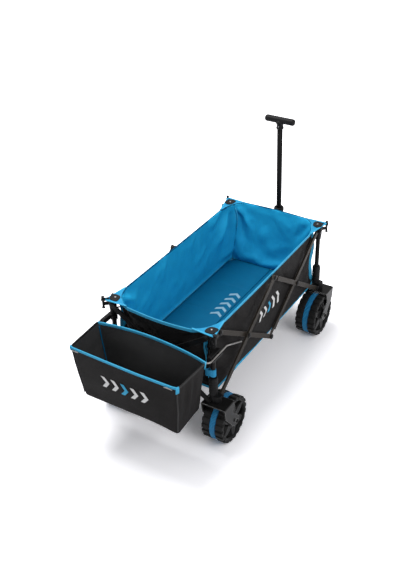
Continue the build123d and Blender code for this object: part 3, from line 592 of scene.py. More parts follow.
for corner, body in wheel_bodies.items():
    hub = wheel_hub(corner)
    out = 1 if corner[1] == "l" else -1
    core_rings = [
        wheel_ring(hub, out, radius, width, core_turns, windows=window_inner <= radius <= window_outer)
        for radius, width in hub_profile
    ]
    core_rings += [wheel_ring(hub, out, radius, width, core_turns) for radius, width in rim_profile]
    core = skin(f"wheel_core_{corner}", core_rings, core_black, endless=True)
    band_rings = [wheel_ring(hub, out, band_seat_r, -wheel_band_half, band_turns)]
    band_rings += [knurled_ring(hub, out, row) for row in range(band_rows + 1)]
    band_rings += [wheel_ring(hub, out, band_seat_r, wheel_band_half, band_turns)]
    band = skin(f"wheel_band_{corner}", band_rings, core_blue, endless=True)
    # Faces sunk below the band's radius take the darker blue: painted shade in the grooves.
    band.data.materials.append(groove_shade_blue)
    for face in band.data.polygons:
        if (face.center - hub).xz.length < wheel_band_r - 0.0002:
            face.material_index = 1
    tyre_parts = []
    for side, place in ((-1, "inner"), (1, "outer")):
        tyre_rings = [wheel_ring(hub, out, radius, side * width, tyre_turns) for radius, width in tyre_profile]
        tyre_parts.append(skin(f"tyre_{corner}_{place}", tyre_rings, rubber, endless=True))
        outward = Vector((0, out * side, 0))
        lugs, studs = [], []
        for number in range(lug_count):
            turn = math.tau * (number + side * 0.25) / lug_count
            radial = on_wheel(hub, out, 1, 0, turn) - hub
            lugs.append((on_wheel(hub, out, tyre_root - 0.0019, side * 0.0312, turn), radial, outward))
            turn += math.pi / lug_count
            stud_at = on_wheel(hub, out, tyre_root - 0.0035, side * (tyre_far - 0.0026), turn)
            studs.append((stud_at, radial + outward, (0, out, 0)))
        tyre_parts.append(set_out(f"tread_blocks_{corner}_{place}", lugs, lug_block, rubber))
        tyre_parts.append(set_out(f"tread_studs_{corner}_{place}", studs, stud_block, core_black))
    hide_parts(f"core_{corner}")
    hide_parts(f"tread_{corner}")
    for piece in (core, band, *tyre_parts):
        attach(piece, body)

# ------------------------------------------------------------ body walls
# The open fabric body: one lofted shell of coated polyester, blue inside
# and black outside, hung by its rim from the posts. It is sewn nearly
# square at the floor and round at the rim, so it puckers at the corners.
middle_x = 0.0925
rim_z, floor_z = 0.5450, 0.2395
rim_side, rim_end = 0.2325, 0.4895
flap_side, flap_end = (0.378, 0.2325), (0.4895, 0.148)
flap_bow = (0.4555, 0.2000)
floor_corner = {"front": (0.4640, 0.2135), "rear": (0.4395, 0.2200)}
floor_end = {"front": 0.4715, "rear": 0.4395}
floor_side = 0.2215
wall_rows = 22
wall_thick = 0.0018
wall_columns = {"right": 76, "front": 40, "left": 76, "rear": 40}
outwards = {
    "right": Vector((0, -1, 0)),
    "left": Vector((0, 1, 0)),
    "front": Vector((1, 0, 0)),
    "rear": Vector((-1, 0, 0)),
}


def rim_corner(share):
    """The rim's corner in plan, from the long side (0) round to the end (1)."""
    start, end, bow = Vector(flap_side), Vector(flap_end), Vector(flap_bow)
    pull = bow * 2 - (start + end) / 2
    return start * (1 - share) ** 2 + pull * (2 * share * (1 - share)) + end * share**2


def along(path, share):
    """The place at a share of a path's length."""
    runs = [(b - a).length for a, b in zip(path, path[1:])]
    left = share * sum(runs)
    for run, a, b in zip(runs, path, path[1:]):
        if left <= run + 1e-9:
            return a.lerp(b, left / run)
        left -= run
    return path[-1].copy()


def plan_paths(wall, end):
    """Half of a wall in plan, from its middle to the seam: along the rim and along the floor."""
    corner = Vector(floor_corner[end])
    if wall in ("rear", "front"):
        rim = [Vector((rim_end, flap_end[1] * step / 8)) for step in range(9)]
        rim += [rim_corner(1 - step / 16) for step in range(1, 9)]
        return rim, [Vector((floor_end[end], 0)), Vector((floor_end[end] - 0.001, 0.196)), corner]
    rim = [Vector((flap_side[0] * step / 8, rim_side)) for step in range(9)]
    rim += [rim_corner(step / 16) for step in range(1, 9)]
    return rim, [Vector((0, floor_side)), Vector((corner.x - 0.022, floor_side)), corner]


def drawn_out(point):
    """The front corners hang a little further out and higher than the rear ones."""
    pull = min(1.0, max(0.0, (point.x - middle_x - 0.40) / 0.09)) * (point.z - floor_z) / (rim_z - floor_z)
    return point + Vector((0.006, 0.022 * point.y, 0.004)) * pull


def wall_point(wall, share, up):
    """A point of the shell; share runs from -1 to 1 as one walks along the wall."""
    ahead, left = {"right": (share, -1), "left": (-share, 1), "front": (1, share), "rear": (-1, -share)}[wall]
    rim, foot = plan_paths(wall, "front" if ahead > 0 else "rear")
    spot = along(foot, abs(share)).lerp(along(rim, abs(share)), up**1.15)
    droop = {"rear": 0.015, "front": -0.006, "right": 0.003, "left": 0.001}[wall]
    high = floor_z + (rim_z - floor_z) * up - droop * (1 - share**2) ** 1.5 * up**2
    return drawn_out(Vector((middle_x + math.copysign(spot.x, ahead), math.copysign(spot.y, left), high)))


def pucker(wall, share, up):
    """Folds that fan out from a wall's two upper corners, as a push outwards."""
    half = 0.26 if wall in ("rear", "front") else 0.48
    seat = {"right": 11, "front": 23, "left": 37, "rear": 51}[wall]
    push = 0.013 * noise.noise(Vector((share * half * 6 + up * 3.0, up * 2.4, seat))) - 0.003
    drift = 2.5 * noise.noise(Vector((share * half * 3, up * 1.4, seat + 7)))
    push += 0.0058 * math.sin(share * half * 26 + (1 - up) * 5.5 + drift) * 4 * up * (1 - up)
    ridge = noise.noise(Vector((share * half * 7.5 + up * 2.6, up * 1.5 - share * half * 2, seat + 3)))
    push -= 0.0100 * max(0.0, 1 - abs(ridge) * 3.2) * min(1, up * 1.4)
    for corner in (-1, 1):
        run, drop = (1 - share * corner) * half, (1 - up) * 0.31
        reach, turn = math.hypot(run, drop), math.atan2(drop, run + 1e-6)
        fan = math.sin(turn * 8 + seat + corner) + 0.9 * noise.noise(Vector((turn * 4, seat, reach * 8)))
        push += fan * 0.017 * math.exp(-(((reach - 0.085) / 0.085) ** 2)) * min(1, reach / 0.03)
    if push < 0 and wall in ("right", "left"):
        push *= min(1, 2.2 * up)
    return push * min(1, 6 * up) * min(1, (1 - up) * 8)


shell = []
for wall, columns in wall_columns.items():
    for step in range(columns):
        share = -1 + 2 * step / columns
        for row in range(wall_rows + 1):
            up = row / wall_rows
            shell.append(wall_point(wall, share, up) + outwards[wall] * pucker(wall, share, up))


def strip_faces(strips, rows, closed):
    """Faces between neighbouring strips of points, which look inwards on the body."""
    return [
        (a * rows + b, a * rows + b + 1, c * rows + b + 1, c * rows + b)
        for a in range(strips if closed else strips - 1)
        for b in range(rows - 1)
        for c in [(a + 1) % strips]
    ]


def settle(points, faces, sewn, growth, reach, moments=30):
    """Lets slack cloth hang from its sewn points; no point moves further than reach."""
    mesh = bpy.data.meshes.new("slack cloth")
    mesh.from_pydata(points, [], faces)
    cloth = shown("slack cloth", mesh)
    cloth.vertex_groups.new(name="sewn").add(sewn, 1.0, "REPLACE")
    drape = cloth.modifiers.new("drape", "CLOTH")
    drape.settings.vertex_group_mass = "sewn"
    drape.settings.quality = 6
    drape.settings.mass = 0.25
    drape.settings.tension_stiffness = drape.settings.compression_stiffness = 20
    drape.settings.shear_stiffness = 8
    drape.settings.bending_stiffness = 0.7
    drape.settings.air_damping = 2.0
    drape.settings.shrink_min = drape.settings.shrink_max = -growth
    drape.point_cache.frame_end = moments
    for moment in range(1, moments + 1):
        bpy.context.scene.frame_set(moment)
    hung = cloth.evaluated_get(bpy.context.evaluated_depsgraph_get()).data.vertices
    moves = [vertex.co - start for vertex, start in zip(hung, points)]
    rested = [start + move * min(1.0, reach / max(move.length, 1e-9)) for start, move in zip(points, moves)]
    bpy.context.scene.frame_set(1)
    bpy.data.objects.remove(cloth)
    return rested


rim_reach, rim_reach_top = 0.4903, 0.0060
shell_tall = wall_rows + 1
shell_wide = sum(wall_columns.values())
shell_sewn = [n for n in range(len(shell)) if n % shell_tall in (0, wall_rows)]
shell = settle(shell, strip_faces(shell_wide, shell_tall, True), shell_sewn, growth=0.014, reach=0.012)
for point in shell:
    end_stop = rim_reach + rim_reach_top * min(1.0, max(0.0, (point.z - 0.5330) / 0.0080))
    point.y = max(-rim_side, min(rim_side, point.y))
    point.x = max(middle_x - end_stop, min(middle_x + end_stop, point.x))

woven_cloth, woven_in, woven_out = effect(
    "woven cloth",
    [("Vector", "NodeSocketVector", None), ("Weave", "NodeSocketVector", None), ("Threads", "NodeSocketFloat", 260.0)],
    [("Height", "NodeSocketFloat"), ("Cloud", "NodeSocketFloat"), ("Crease", "NodeSocketFloat")],
)
woven_bands = []
for direction in ("X", "Y"):
    band = woven_cloth.nodes.new("ShaderNodeTexWave")
    band.bands_direction = direction
    woven_cloth.links.new(woven_in.outputs["Weave"], band.inputs["Vector"])
    woven_cloth.links.new(woven_in.outputs["Threads"], band.inputs["Scale"])
    woven_bands.append(band.outputs["Fac"])
woven_height = maths(woven_cloth, "MAXIMUM", woven_bands[0], woven_bands[1])
woven_cloth.links.new(woven_height, woven_out.inputs["Height"])
woven_cloth.links.new(speckle(woven_cloth, woven_in.outputs["Vector"], 16.0, 4.0, 0.55), woven_out.inputs["Cloud"])
woven_ridge = maths(woven_cloth, "SUBTRACT", speckle(woven_cloth, woven_in.outputs["Vector"], 5.0, 1.5, 0.5), 0.5)
woven_cloth.links.new(maths(woven_cloth, "ABSOLUTE", woven_ridge), woven_out.inputs["Crease"])


def cloth_finish(name, dark, light, rough, threads=260.0, depth=0.0002, with_uv=True, creases=0.0, **plain):
    """Woven cloth or tape: cloudy tone, soft creases and a fine weave."""
    material, tree, shader = finish(name, rough, **plain)
    where = on_object(tree)
    weave = placed(tree, woven_cloth, Threads=threads)
    tree.links.new(where, weave.inputs["Vector"])
    mesh_uv = tree.nodes.new("ShaderNodeUVMap").outputs[0] if with_uv else where
    tree.links.new(mesh_uv, weave.inputs["Weave"])
    tree.links.new(between(tree, weave.outputs["Cloud"], dark, light), shader.inputs["Base Color"])
    raised(tree, shader, weave.outputs["Crease"], creases * 4)
    creased = shader.inputs["Normal"].links[0].from_socket
    raised(tree, shader, weave.outputs["Height"], depth, creased)
    return material


blue_cloth = cloth_finish(
    "blue coated polyester", dark=(0.006, 0.28, 0.53), light=(0.018, 0.40, 0.69), rough=0.6, creases=0.0020,
    Specular_IOR_Level=0.12,
)
black_cloth = cloth_finish(
    "black coated polyester", dark=(0.008, 0.0075, 0.0075), light=(0.015, 0.014, 0.014), rough=0.6, creases=0.002,
    Specular_IOR_Level=0.04,
)


def cloth_piece(name, strips, inside, outside, thick):
    """A sheet through strips of points, with its thickness added and its UVs in metres."""
    rows = len(strips[0])
    mesh = bpy.data.meshes.new(name)
    mesh.from_pydata([p for strip in strips for p in strip], [], strip_faces(len(strips), rows, False))
    middle = strips[len(strips) // 2]
    across, up = [0.0], [0.0]
    for before, after in zip(strips, strips[1:]):
        across.append(across[-1] + (after[rows // 2] - before[rows // 2]).length)
    for before, after in zip(middle, middle[1:]):
        up.append(up[-1] + (after - before).length)
    uvs = mesh.uv_layers.new(name="cloth")
    for loop in mesh.loops:
        uvs.data[loop.index].uv = (across[loop.vertex_index // rows], up[loop.vertex_index % rows])
    mesh.shade_smooth()
    mesh.materials.append(inside)
    mesh.materials.append(outside)
    piece = shown(name, mesh)
    soft = piece.modifiers.new("soft folds", "SUBSURF")
    soft.levels = soft.render_levels = 1
    depth = piece.modifiers.new("thickness", "SOLIDIFY")
    depth.thickness = thick
    depth.offset = 1
    depth.material_offset = depth.material_offset_rim = 1
    return piece, across[-1], up[-1]


side_anchor = (middle_x - 0.44, 0, 0)
end_anchor = (0, -0.2185, 0)
follows = {
    "right": ("rear_right_cap", (1, 0, 0), side_anchor),
    "left": ("rear_left_cap", (1, 0, 0), side_anchor),
    "rear": ("rear_right_cap", (0, 1, 0), end_anchor),
    "front": ("front_right_cap", (0, 1, 0), end_anchor),
}


def fold_with(piece, wall):
    """The piece is carried by the wall's first post."""
    body, axis, anchor = follows[wall]
    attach(piece, body)
    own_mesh(piece)
    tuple(axis)
    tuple(anchor)


wall_strips = {}
shell_start = 0
for wall, columns in wall_columns.items():
    places = [(shell_start + step) % shell_wide * shell_tall for step in range(columns + 1)]
    wall_strips[wall] = [[Vector(p) for p in shell[place : place + shell_tall]] for place in places]
    shell_start += columns
for wall, strips in wall_strips.items():
    panel, wide, tall = cloth_piece(f"body_wall_{wall}", strips, blue_cloth, black_cloth, wall_thick)
    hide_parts(f"wall_{wall}")
    fold_with(panel, wall)

# ---------------------------------------------------- bindings and piping
# Light blue polyester tape folded over the rim and sewn along the body's
# bottom edges and upright corners; dark tape covers the seams inside.
tape = cloth_finish(
    "light blue binding tape", dark=(0.03, 0.32, 0.56), light=(0.07, 0.44, 0.70), rough=0.6, threads=420.0,
    depth=0.00025, with_uv=False, Specular_IOR_Level=0.15,
)
corner_tape = cloth_finish(
    "blue seam tape", dark=(0.0, 0.15, 0.32), light=(0.0, 0.20, 0.40), rough=0.7,
    with_uv=False, Specular_IOR_Level=0.1,
)
seam_tape = cloth_finish(
    "dark blue seam tape", dark=(0.0, 0.07, 0.16), light=(0.0, 0.10, 0.21), rough=0.7,
    with_uv=False, Specular_IOR_Level=0.1,
)


def band_outline(wide, high, rounding=0.45):
    """A flat strip's section with rounded edges, as (across, up) pairs."""
    corner = min(wide, high) * rounding
    spots = []
    for number in range(16):
        angle = math.tau * (number + 0.5) / 16
        x, y = math.cos(angle), math.sin(angle)
        spots.append(
            (math.copysign(wide / 2 - corner, x) + corner * x, math.copysign(high / 2 - corner, y) + corner * y)
        )
    return spots


def sweep(name, path, outline, material, upright=(0, 0, 1)):
    """A solid strip: the section is carried along the path with its top towards upright."""
    rings = []
    for number, point in enumerate(path):
        ahead = (path[min(number + 1, len(path) - 1)] - path[max(number - 1, 0)]).normalized()
        across = ahead.cross(Vector(upright)).normalized()
        top = across.cross(ahead)
        rings.append([point + across * a + top * b for a, b in outline])
    return skin(name, rings, material)


def evenly(path, gap):
    """Places set a gap apart along a path, as (point, direction) pairs."""
    spots, left = [], gap / 2
    for start, end in zip(path, path[1:]):
        run = (end - start).length
        while left < run:
            spots.append((start.lerp(end, left / run), (end - start).normalized()))
            left += gap
        left -= run
    return spots


stitch_pitch = 0.0046
stitch_block = pattern_block("stitch pattern", (0.0032, 0.0008, 0.0006), 0.0003, segments=1)
thread = hard_finish(
    "blue sewing thread", dark=(0.0, 0.12, 0.26), light=(0.0, 0.19, 0.37), rough=0.6,
    edge_wear_and_highlight_tone=(0.02, 0.26, 0.48), edge=0.0002, grain=2600.0, depth=0.00005, Specular_IOR_Level=0.15,
)
dark_thread = hard_finish(
    "black sewing thread", dark=(0.012, 0.012, 0.012), light=(0.03, 0.03, 0.03), rough=0.6,
    edge_wear_and_highlight_tone=(0.05, 0.05, 0.05), edge=0.0002, grain=2600.0, depth=0.00005, Specular_IOR_Level=0.15,
)


def stitched(name, path, facing, material):
    """A row of stitches along a path, lying on a face that looks towards facing."""
    places = [(spot, facing, way) for spot, way in evenly(path, stitch_pitch)]
    return set_out(name, places, stitch_block, material, turn=0.05)


rim_deep = {"right": 0.0105, "front": 0.0070, "left": 0.0070, "rear": 0.0150}
next_wall = {"right": "front", "front": "left", "left": "rear", "rear": "right"}
corner_flat = {"right": (0.0036, 0.0150), "left": (0.0036, 0.0130), "front": (0.0120, 0.0034), "rear": (0.0120, 0.0034)}
corner_aside = {"rear": Vector((0, 0.0080, 0))}
upwards = Vector((0, 0, 1))
for wall, strips in wall_strips.items():
    out = outwards[wall]
    rim = sweep(
        f"rim_binding_{wall}",
        [strip[-1] + upwards * (0.0016 - rim_deep[wall] / 2) for strip in strips],
        band_outline(0.0042, rim_deep[wall]),
        tape if wall in ("right", "rear") else seam_tape,
    )
    foot = sweep(
        f"bottom_binding_{wall}",
        [strip[0] + out * 0.0022 + upwards * 0.0010 for strip in strips],
        band_outline(0.0036, 0.0120),
        tape,
    )
    inner = sweep(
        f"floor_seam_{wall}",
        [strip[0] - out * 0.0016 + upwards * 0.0046 for strip in strips],
        band_outline(0.0014, 0.0020),
        seam_tape,
    )
    line = strips[-1]
    corner_edge = [(a + b * 2 + c) / 4 for a, b, c in zip(line, line[1:], line[2:])]
    away = (out + outwards[next_wall[wall]]).normalized()
    flat, fin = corner_flat[wall]
    aside = corner_aside.get(wall, Vector((0, 0, 0)))
    post = sweep(
        f"corner_binding_{wall}",
        [point + away * (fin / 2 - 0.0004) + aside for point in corner_edge],
        band_outline(flat, fin),
        tape,
        away,
    )
    tuck = sweep(
        f"corner_seam_{wall}",
        [point - away * 0.0030 for point in corner_edge],
        band_outline(0.0034, 0.0026),
        corner_tape,
        away,
    )
    rim_line = [strip[-1] - upwards * 0.0048 for strip in strips]
    foot_line = [strip[0] + out * 0.0040 + upwards * 0.0030 for strip in strips]
    rows = [
        stitched(f"rim_stitches_out_{wall}", [point + out * 0.0021 for point in rim_line], out, thread),
        stitched(f"rim_stitches_in_{wall}", [point - out * 0.0021 for point in rim_line], -out, thread),
        stitched(f"bottom_stitches_{wall}", foot_line, out, thread),
    ]
    for strip in (rim, foot, inner, post, tuck, *rows):
        fold_with(strip, wall)

# ---------------------------------------------------------- corner flaps
# Light blue flaps over the body's corners, bound along their edges. A dark
# patch riveted near each tip carries the loop that hooks on the cap.
flap_tip = (0.496, 0.252)
flap_z = 0.5458
flap_thick = 0.0016
cleat_at = (0.500, 0.260)
light_cloth = cloth_finish(
    "light blue polyester", dark=(0.012, 0.235, 0.45), light=(0.035, 0.32, 0.57), rough=0.6, creases=0.0015,
    Specular_IOR_Level=0.12,
)
patch_cloth = cloth_finish(
    "black reinforcing cloth", dark=(0.006, 0.006, 0.0065), light=(0.014, 0.014, 0.015), rough=0.55, threads=320.0,
    depth=0.0003, with_uv=False, Specular_IOR_Level=0.12,
)
zinc = hard_finish(
    "zinc plated steel", dark=(0.16, 0.16, 0.165), light=(0.27, 0.27, 0.28), rough=0.34, edge_wear_and_highlight_tone=(0.55, 0.55, 0.56),
    edge=0.0004, grain=900.0, depth=0.00004, Metallic=1.0,
)


def flap_edge(share):
    """The flap's outer edge in plan, from the long side round the tip to the end."""
    tip = Vector(flap_tip)
    edge = [Vector(flap_side), tip - Vector((0.006, 0)), tip, tip - Vector((0, 0.006)), Vector(flap_end)]
    return along(edge, share)


def on_flap(around, out):
    """A point of the flap: its share round the edges, and its share from the opening to the edge."""
    flat = rim_corner(around).lerp(flap_edge(around), out)
    rise = -0.0035 * math.sin(math.pi * out) + 0.0016 * math.sin(around * 13) * math.sin(math.pi * out)
    return Vector((flat.x, flat.y, flap_z + rise * math.sin(math.pi * around)))


def near_tip(angle, size):
    """A point on the patch: a rounded square set cornerwise to the flap's tip."""
    lobe = 1 / (abs(math.cos(angle)) ** 3 + abs(math.sin(angle)) ** 3) ** (1 / 3)
    ahead = Vector((0.754, 0.656)) * math.cos(angle + math.pi / 4) * 0.92
    beside = Vector((-0.656, 0.754)) * math.sin(angle + math.pi / 4) * 1.12
    return Vector(flap_tip) - Vector((0.0300, 0.0262)) + (ahead + beside) * lobe * size


def revolved(name, profile, place, axis, material, turns=24, hollow=False):
    """A round solid, or a closed ring: (radius, height) pairs turned about an axis through place."""
    spin = Vector((0, 0, 1)).rotation_difference(Vector(axis)).to_matrix()
    rings = []
    for radius, height in profile:
        turned = [math.tau * step / turns for step in range(turns)]
        ring = [Vector((radius * math.cos(angle), radius * math.sin(angle), height)) for angle in turned]
        rings.append([Vector(place) + spin @ point for point in ring])
    return skin(name, rings, material, endless=hollow)


def welded(mesh, gap):
    """A mesh's shape, with its points made one where they lie within a gap."""
    shape = bmesh.new()
    shape.from_mesh(mesh)
    bmesh.ops.remove_doubles(shape, verts=shape.verts, dist=gap)
    return shape


def at_corner(corner, point):
    """A point of one corner's flap, from its place on the front left one."""
    ahead = 1 if corner[0] == "f" else -1
    left = 1 if corner[1] == "l" else -1
    high = point.z if len(point) > 2 else flap_z
    return drawn_out(Vector((middle_x + ahead * point.x, left * point.y, high)))


patch_turns = 32
patch_layers = ((0.0215, 0.0001), (0.0215, 0.0022), (0.0195, 0.0030), (0.008, 0.0032), (0.0004, 0.0032))
rivet_profile = [(0.0046, 0), (0.0046, 0.0008), (0.0036, 0.0018), (0.0020, 0.0022), (0.0016, 0.0016), (0.0002, 0.0015)]
cap_bodies = {
    "rr": "rear_right_cap",
    "rl": "rear_left_cap",
    "fr": "front_right_cap",
    "fl": "front_left_cap",
}
for corner, body in cap_bodies.items():
    strips = [[at_corner(corner, on_flap(a / 28, b / 8)) for b in range(9)] for a in range(29)]
    if corner in ("fl", "rr"):
        strips.reverse()
    flap = cloth_piece(f"flap_{corner}", strips, light_cloth, black_cloth, flap_thick)[0]
    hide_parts(f"tab_{corner}")
    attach(flap, body)
    edge = sweep(
        f"flap_binding_{corner}",
        [at_corner(corner, on_flap(0.02 + 0.96 * a / 40, 1.0)) for a in range(41)],
        band_outline(0.0075, 0.0036),
        tape,
    )
    brow = sweep(
        f"flap_seam_{corner}",
        [at_corner(corner, on_flap(a / 30, 0.10)) + upwards * 0.0006 for a in range(2, 29)],
        band_outline(0.0030, 0.0016),
        tape,
    )
    patch_rings = [
        [
            at_corner(corner, near_tip(math.tau * a / patch_turns, size)) + upwards * rise
            for a in range(patch_turns + 1)
        ]
        for size, rise in patch_layers
    ]
    patch = bpy.data.meshes.new(f"patch_{corner}")
    patch_faces = strip_faces(len(patch_rings), patch_turns + 1, False)
    patch.from_pydata([point for ring in patch_rings for point in ring], [], patch_faces)
    patch_body = shown(f"patch_{corner}", patch)
    patch.materials.append(patch_cloth)
    patch_shape = welded(patch, 0.00002)
    bmesh.ops.recalc_face_normals(patch_shape, faces=patch_shape.faces)
    patch_shape.to_mesh(patch)
    patch_shape.free()
    patch.shade_smooth()
    rivet_at = at_corner(corner, Vector(flap_tip) - Vector((0.0315, 0.0275))) + upwards * 0.0030
    rivet = revolved(f"flap_rivet_{corner}", rivet_profile, rivet_at, (0, 0, 1), zinc)
    ahead = 1 if corner[0] == "f" else -1
    left = 1 if corner[1] == "l" else -1
    post_at = Vector((middle_x + ahead * cleat_at[0], left * cleat_at[1], flap_z))
    inward = (rivet_at - post_at).normalized()
    turn = math.atan2(inward.y, inward.x)
    hoop = []
    for step in range(21):
        angle = math.radians(50 + 260 * step / 20)
        hoop.append(post_at + Vector((math.cos(turn + angle), math.sin(turn + angle), 0)) * 0.0068)
    loop_path = [rivet_at + (hoop[0] - rivet_at) * 0.55, *hoop, rivet_at + (hoop[-1] - rivet_at) * 0.55]
    loop = sweep(f"flap_loop_{corner}", loop_path, band_outline(0.0022, 0.0090), patch_cloth)
    edge_line = [at_corner(corner, on_flap(0.03 + 0.94 * a / 40, 0.93)) + upwards * 0.0003 for a in range(41)]
    edge_row = stitched(f"flap_stitches_{corner}", edge_line, (0, 0, 1), thread)
    patch_line = [
        at_corner(corner, near_tip(math.tau * a / patch_turns, 0.0180)) + upwards * 0.0031
        for a in range(patch_turns + 1)
    ]
    patch_row = stitched(f"patch_stitches_{corner}", patch_line, (0, 0, 1), dark_thread)
    for piece in (edge, brow, patch_body, rivet, loop, edge_row, patch_row):
        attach(piece, body)

# ----------------------------------------------------------------- floor
# Two stiffened floor halves in blue cloth that meet along the middle and
# fold up with the wagon; sewn seams run across each half.
floor_cloth = cloth_finish(
    "blue floor cloth", dark=(0.0, 0.100, 0.205), light=(0.0, 0.130, 0.255), rough=0.6, creases=0.001,
    Specular_IOR_Level=0.1,
)
deck_z = 0.2425
deck_thick = 0.0045
deck_rear, deck_front = -0.4385, 0.4700
deck_side, deck_parting = 0.2195, 0.0007
deck_seams = (-0.215, 0.015, 0.245)
seam_rows = (("a", -0.0035), ("b", 0.0035))


def deck_point(along_x, across, left):
    """A point of a floor half, sunk at its seams and a little soft between them."""
    reach = deck_rear + along_x * (deck_front - deck_rear)
    corner = max(0.0, (reach - 0.4300) / 0.0400)
    width = deck_side - 0.0245 * corner**1.6
    side = deck_parting + across * (width - deck_parting)
    near = min(abs(reach - seam) for seam in deck_seams)
    rise = -0.0020 * math.exp(-((near / 0.006) ** 2)) + 0.0012 * math.sin(math.pi * across)
    rise += 0.0016 * noise.noise(Vector((reach * 6, side * 9 * left, 3.0)))
    edge = min(across, 1 - across, 12 * along_x, 12 * (1 - along_x)) / 0.03
    return Vector((middle_x + reach, left * side, deck_z + rise * min(1, edge) - 0.0015 * max(0, 1 - edge)))


for number, seam in enumerate(deck_seams):
    for side, left in (("right", -1), ("left", 1)):
        for letter, gap in seam_rows:
            along_x = (seam + gap - deck_rear) / (deck_front - deck_rear)
            line = [deck_point(along_x, 0.03 + 0.94 * b / 20, left) + upwards * 0.0001 for b in range(21)]
            row = stitched(f"floor_stitches_{side}_{number}_{letter}", line, (0, 0, 1), thread)
            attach(row, f"floor_{side}")
            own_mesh(row)
for side, left in (("right", -1), ("left", 1)):
    strips = [[deck_point(a / 96, b / 20, left) for b in range(21)] for a in range(97)]
    if left > 0:
        strips.reverse()
    deck = cloth_piece(f"body_floor_{side}", strips, floor_cloth, black_cloth, deck_thick)[0]
    deck.modifiers["thickness"].offset = -1
    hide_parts(f"floor_{side}")
    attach(deck, f"floor_{side}")
    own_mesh(deck)

# ------------------------------------------------------------------- bin
# The bin behind: one sagging shell of black coated polyester, bound in blue
# and black tape and sewn round a steel wire that hooks on the rear posts.
# The pull of the cloth bows the wire out and up along the back rim.
bin_thick = 0.0018
bin_top, bin_bottom = 0.4685, 0.2265
bin_back, bin_front = -0.5565, -0.7385
bin_foot_back, bin_foot_front = -0.5575, -0.7145
bin_half_back, bin_half_front, bin_foot_half = 0.2525, 0.2445, 0.2215
bin_bend = 0.012
bin_wall_rows, bin_floor_rows = 18, 7
bin_steps = 34
# Satin black lining: its low roughness gives its own sheen, and its base is painted about three times lighter than the
# outer black, a painted sheen.
bin_lining_and_sheen = cloth_finish(
    "satin black lining, painted sheen", dark=(0.028, 0.028, 0.0285), light=(0.050, 0.050, 0.051), rough=0.36,
    creases=0.0015, Specular_IOR_Level=0.45,
)
black_tape = cloth_finish(
    "black binding tape", dark=(0.006, 0.006, 0.006), light=(0.012, 0.012, 0.012), rough=0.6,
    threads=420.0, with_uv=False, Specular_IOR_Level=0.2,
)
wire_steel = hard_finish(
    "drawn steel wire", dark=(0.13, 0.125, 0.12), light=(0.26, 0.25, 0.24), rough=0.30,
    edge_wear_and_highlight_tone=(0.5, 0.5, 0.5), edge=0.0003, grain=800.0, depth=0.00004, Metallic=1.0,
)


def rounded_plan(corners_at, bend, per_side, per_bend=5):
    """Points round a plan with four bent corners, as (point, which side, share along it)."""
    ring = []
    for number, corner in enumerate(corners_at):
        before = Vector(corners_at[number - 1])
        after = Vector(corners_at[(number + 1) % 4])
        corner = Vector(corner)
        start = corner + (before - corner).normalized() * bend
        end = corner + (after - corner).normalized() * bend
        for step in range(per_bend):
            share = step / per_bend
            bent = start * (1 - share) ** 2 + corner * (2 * share * (1 - share)) + end * share**2
            ring.append((bent, number, 0.0))
        last = after + (corner - after).normalized() * bend
        for step in range(per_side):
            ring.append((end.lerp(last, step / per_side), number, step / per_side))
    return ring


bin_rim_corners = (
    (bin_back, -bin_half_back),
    (bin_back, bin_half_back),
    (bin_front, bin_half_front),
    (bin_front, -bin_half_front),
)
bin_foot_corners = (
    (bin_foot_back, -bin_foot_half),
    (bin_foot_back, bin_foot_half),
    (bin_foot_front, bin_foot_half),
    (bin_foot_front, -bin_foot_half),
)
bin_rim_plan = rounded_plan(bin_rim_corners, bin_bend, bin_steps)
bin_foot_plan = rounded_plan(bin_foot_corners, bin_bend, bin_steps)
bin_sides = (Vector((1, 0)), Vector((0, 1)), Vector((-1, 0)), Vector((0, -1)))
bin_bulge = (0.000, 0.004, 0.004, 0.004)
bin_middle = Vector(((bin_foot_back + bin_foot_front) / 2, 0))


def left_lift(aside, ahead=0.0):
    """How much higher the rim hangs towards its left end; it fades out along the wire's arms."""
    leftness = max(0.0, min(1.0, 0.2 + 0.8 * aside / bin_half_back))
    return 0.0075 * leftness * max(0.0, 1 - max(0.0, ahead) / 0.02)


def back_bow(aside):
    """How much the back rim bows out and up, from 1 at its middle to 0 at its bends."""
    share = min(1.0, abs(aside) / (bin_half_back - bin_bend))
    return math.cos(math.pi * share / 2) ** 0.8


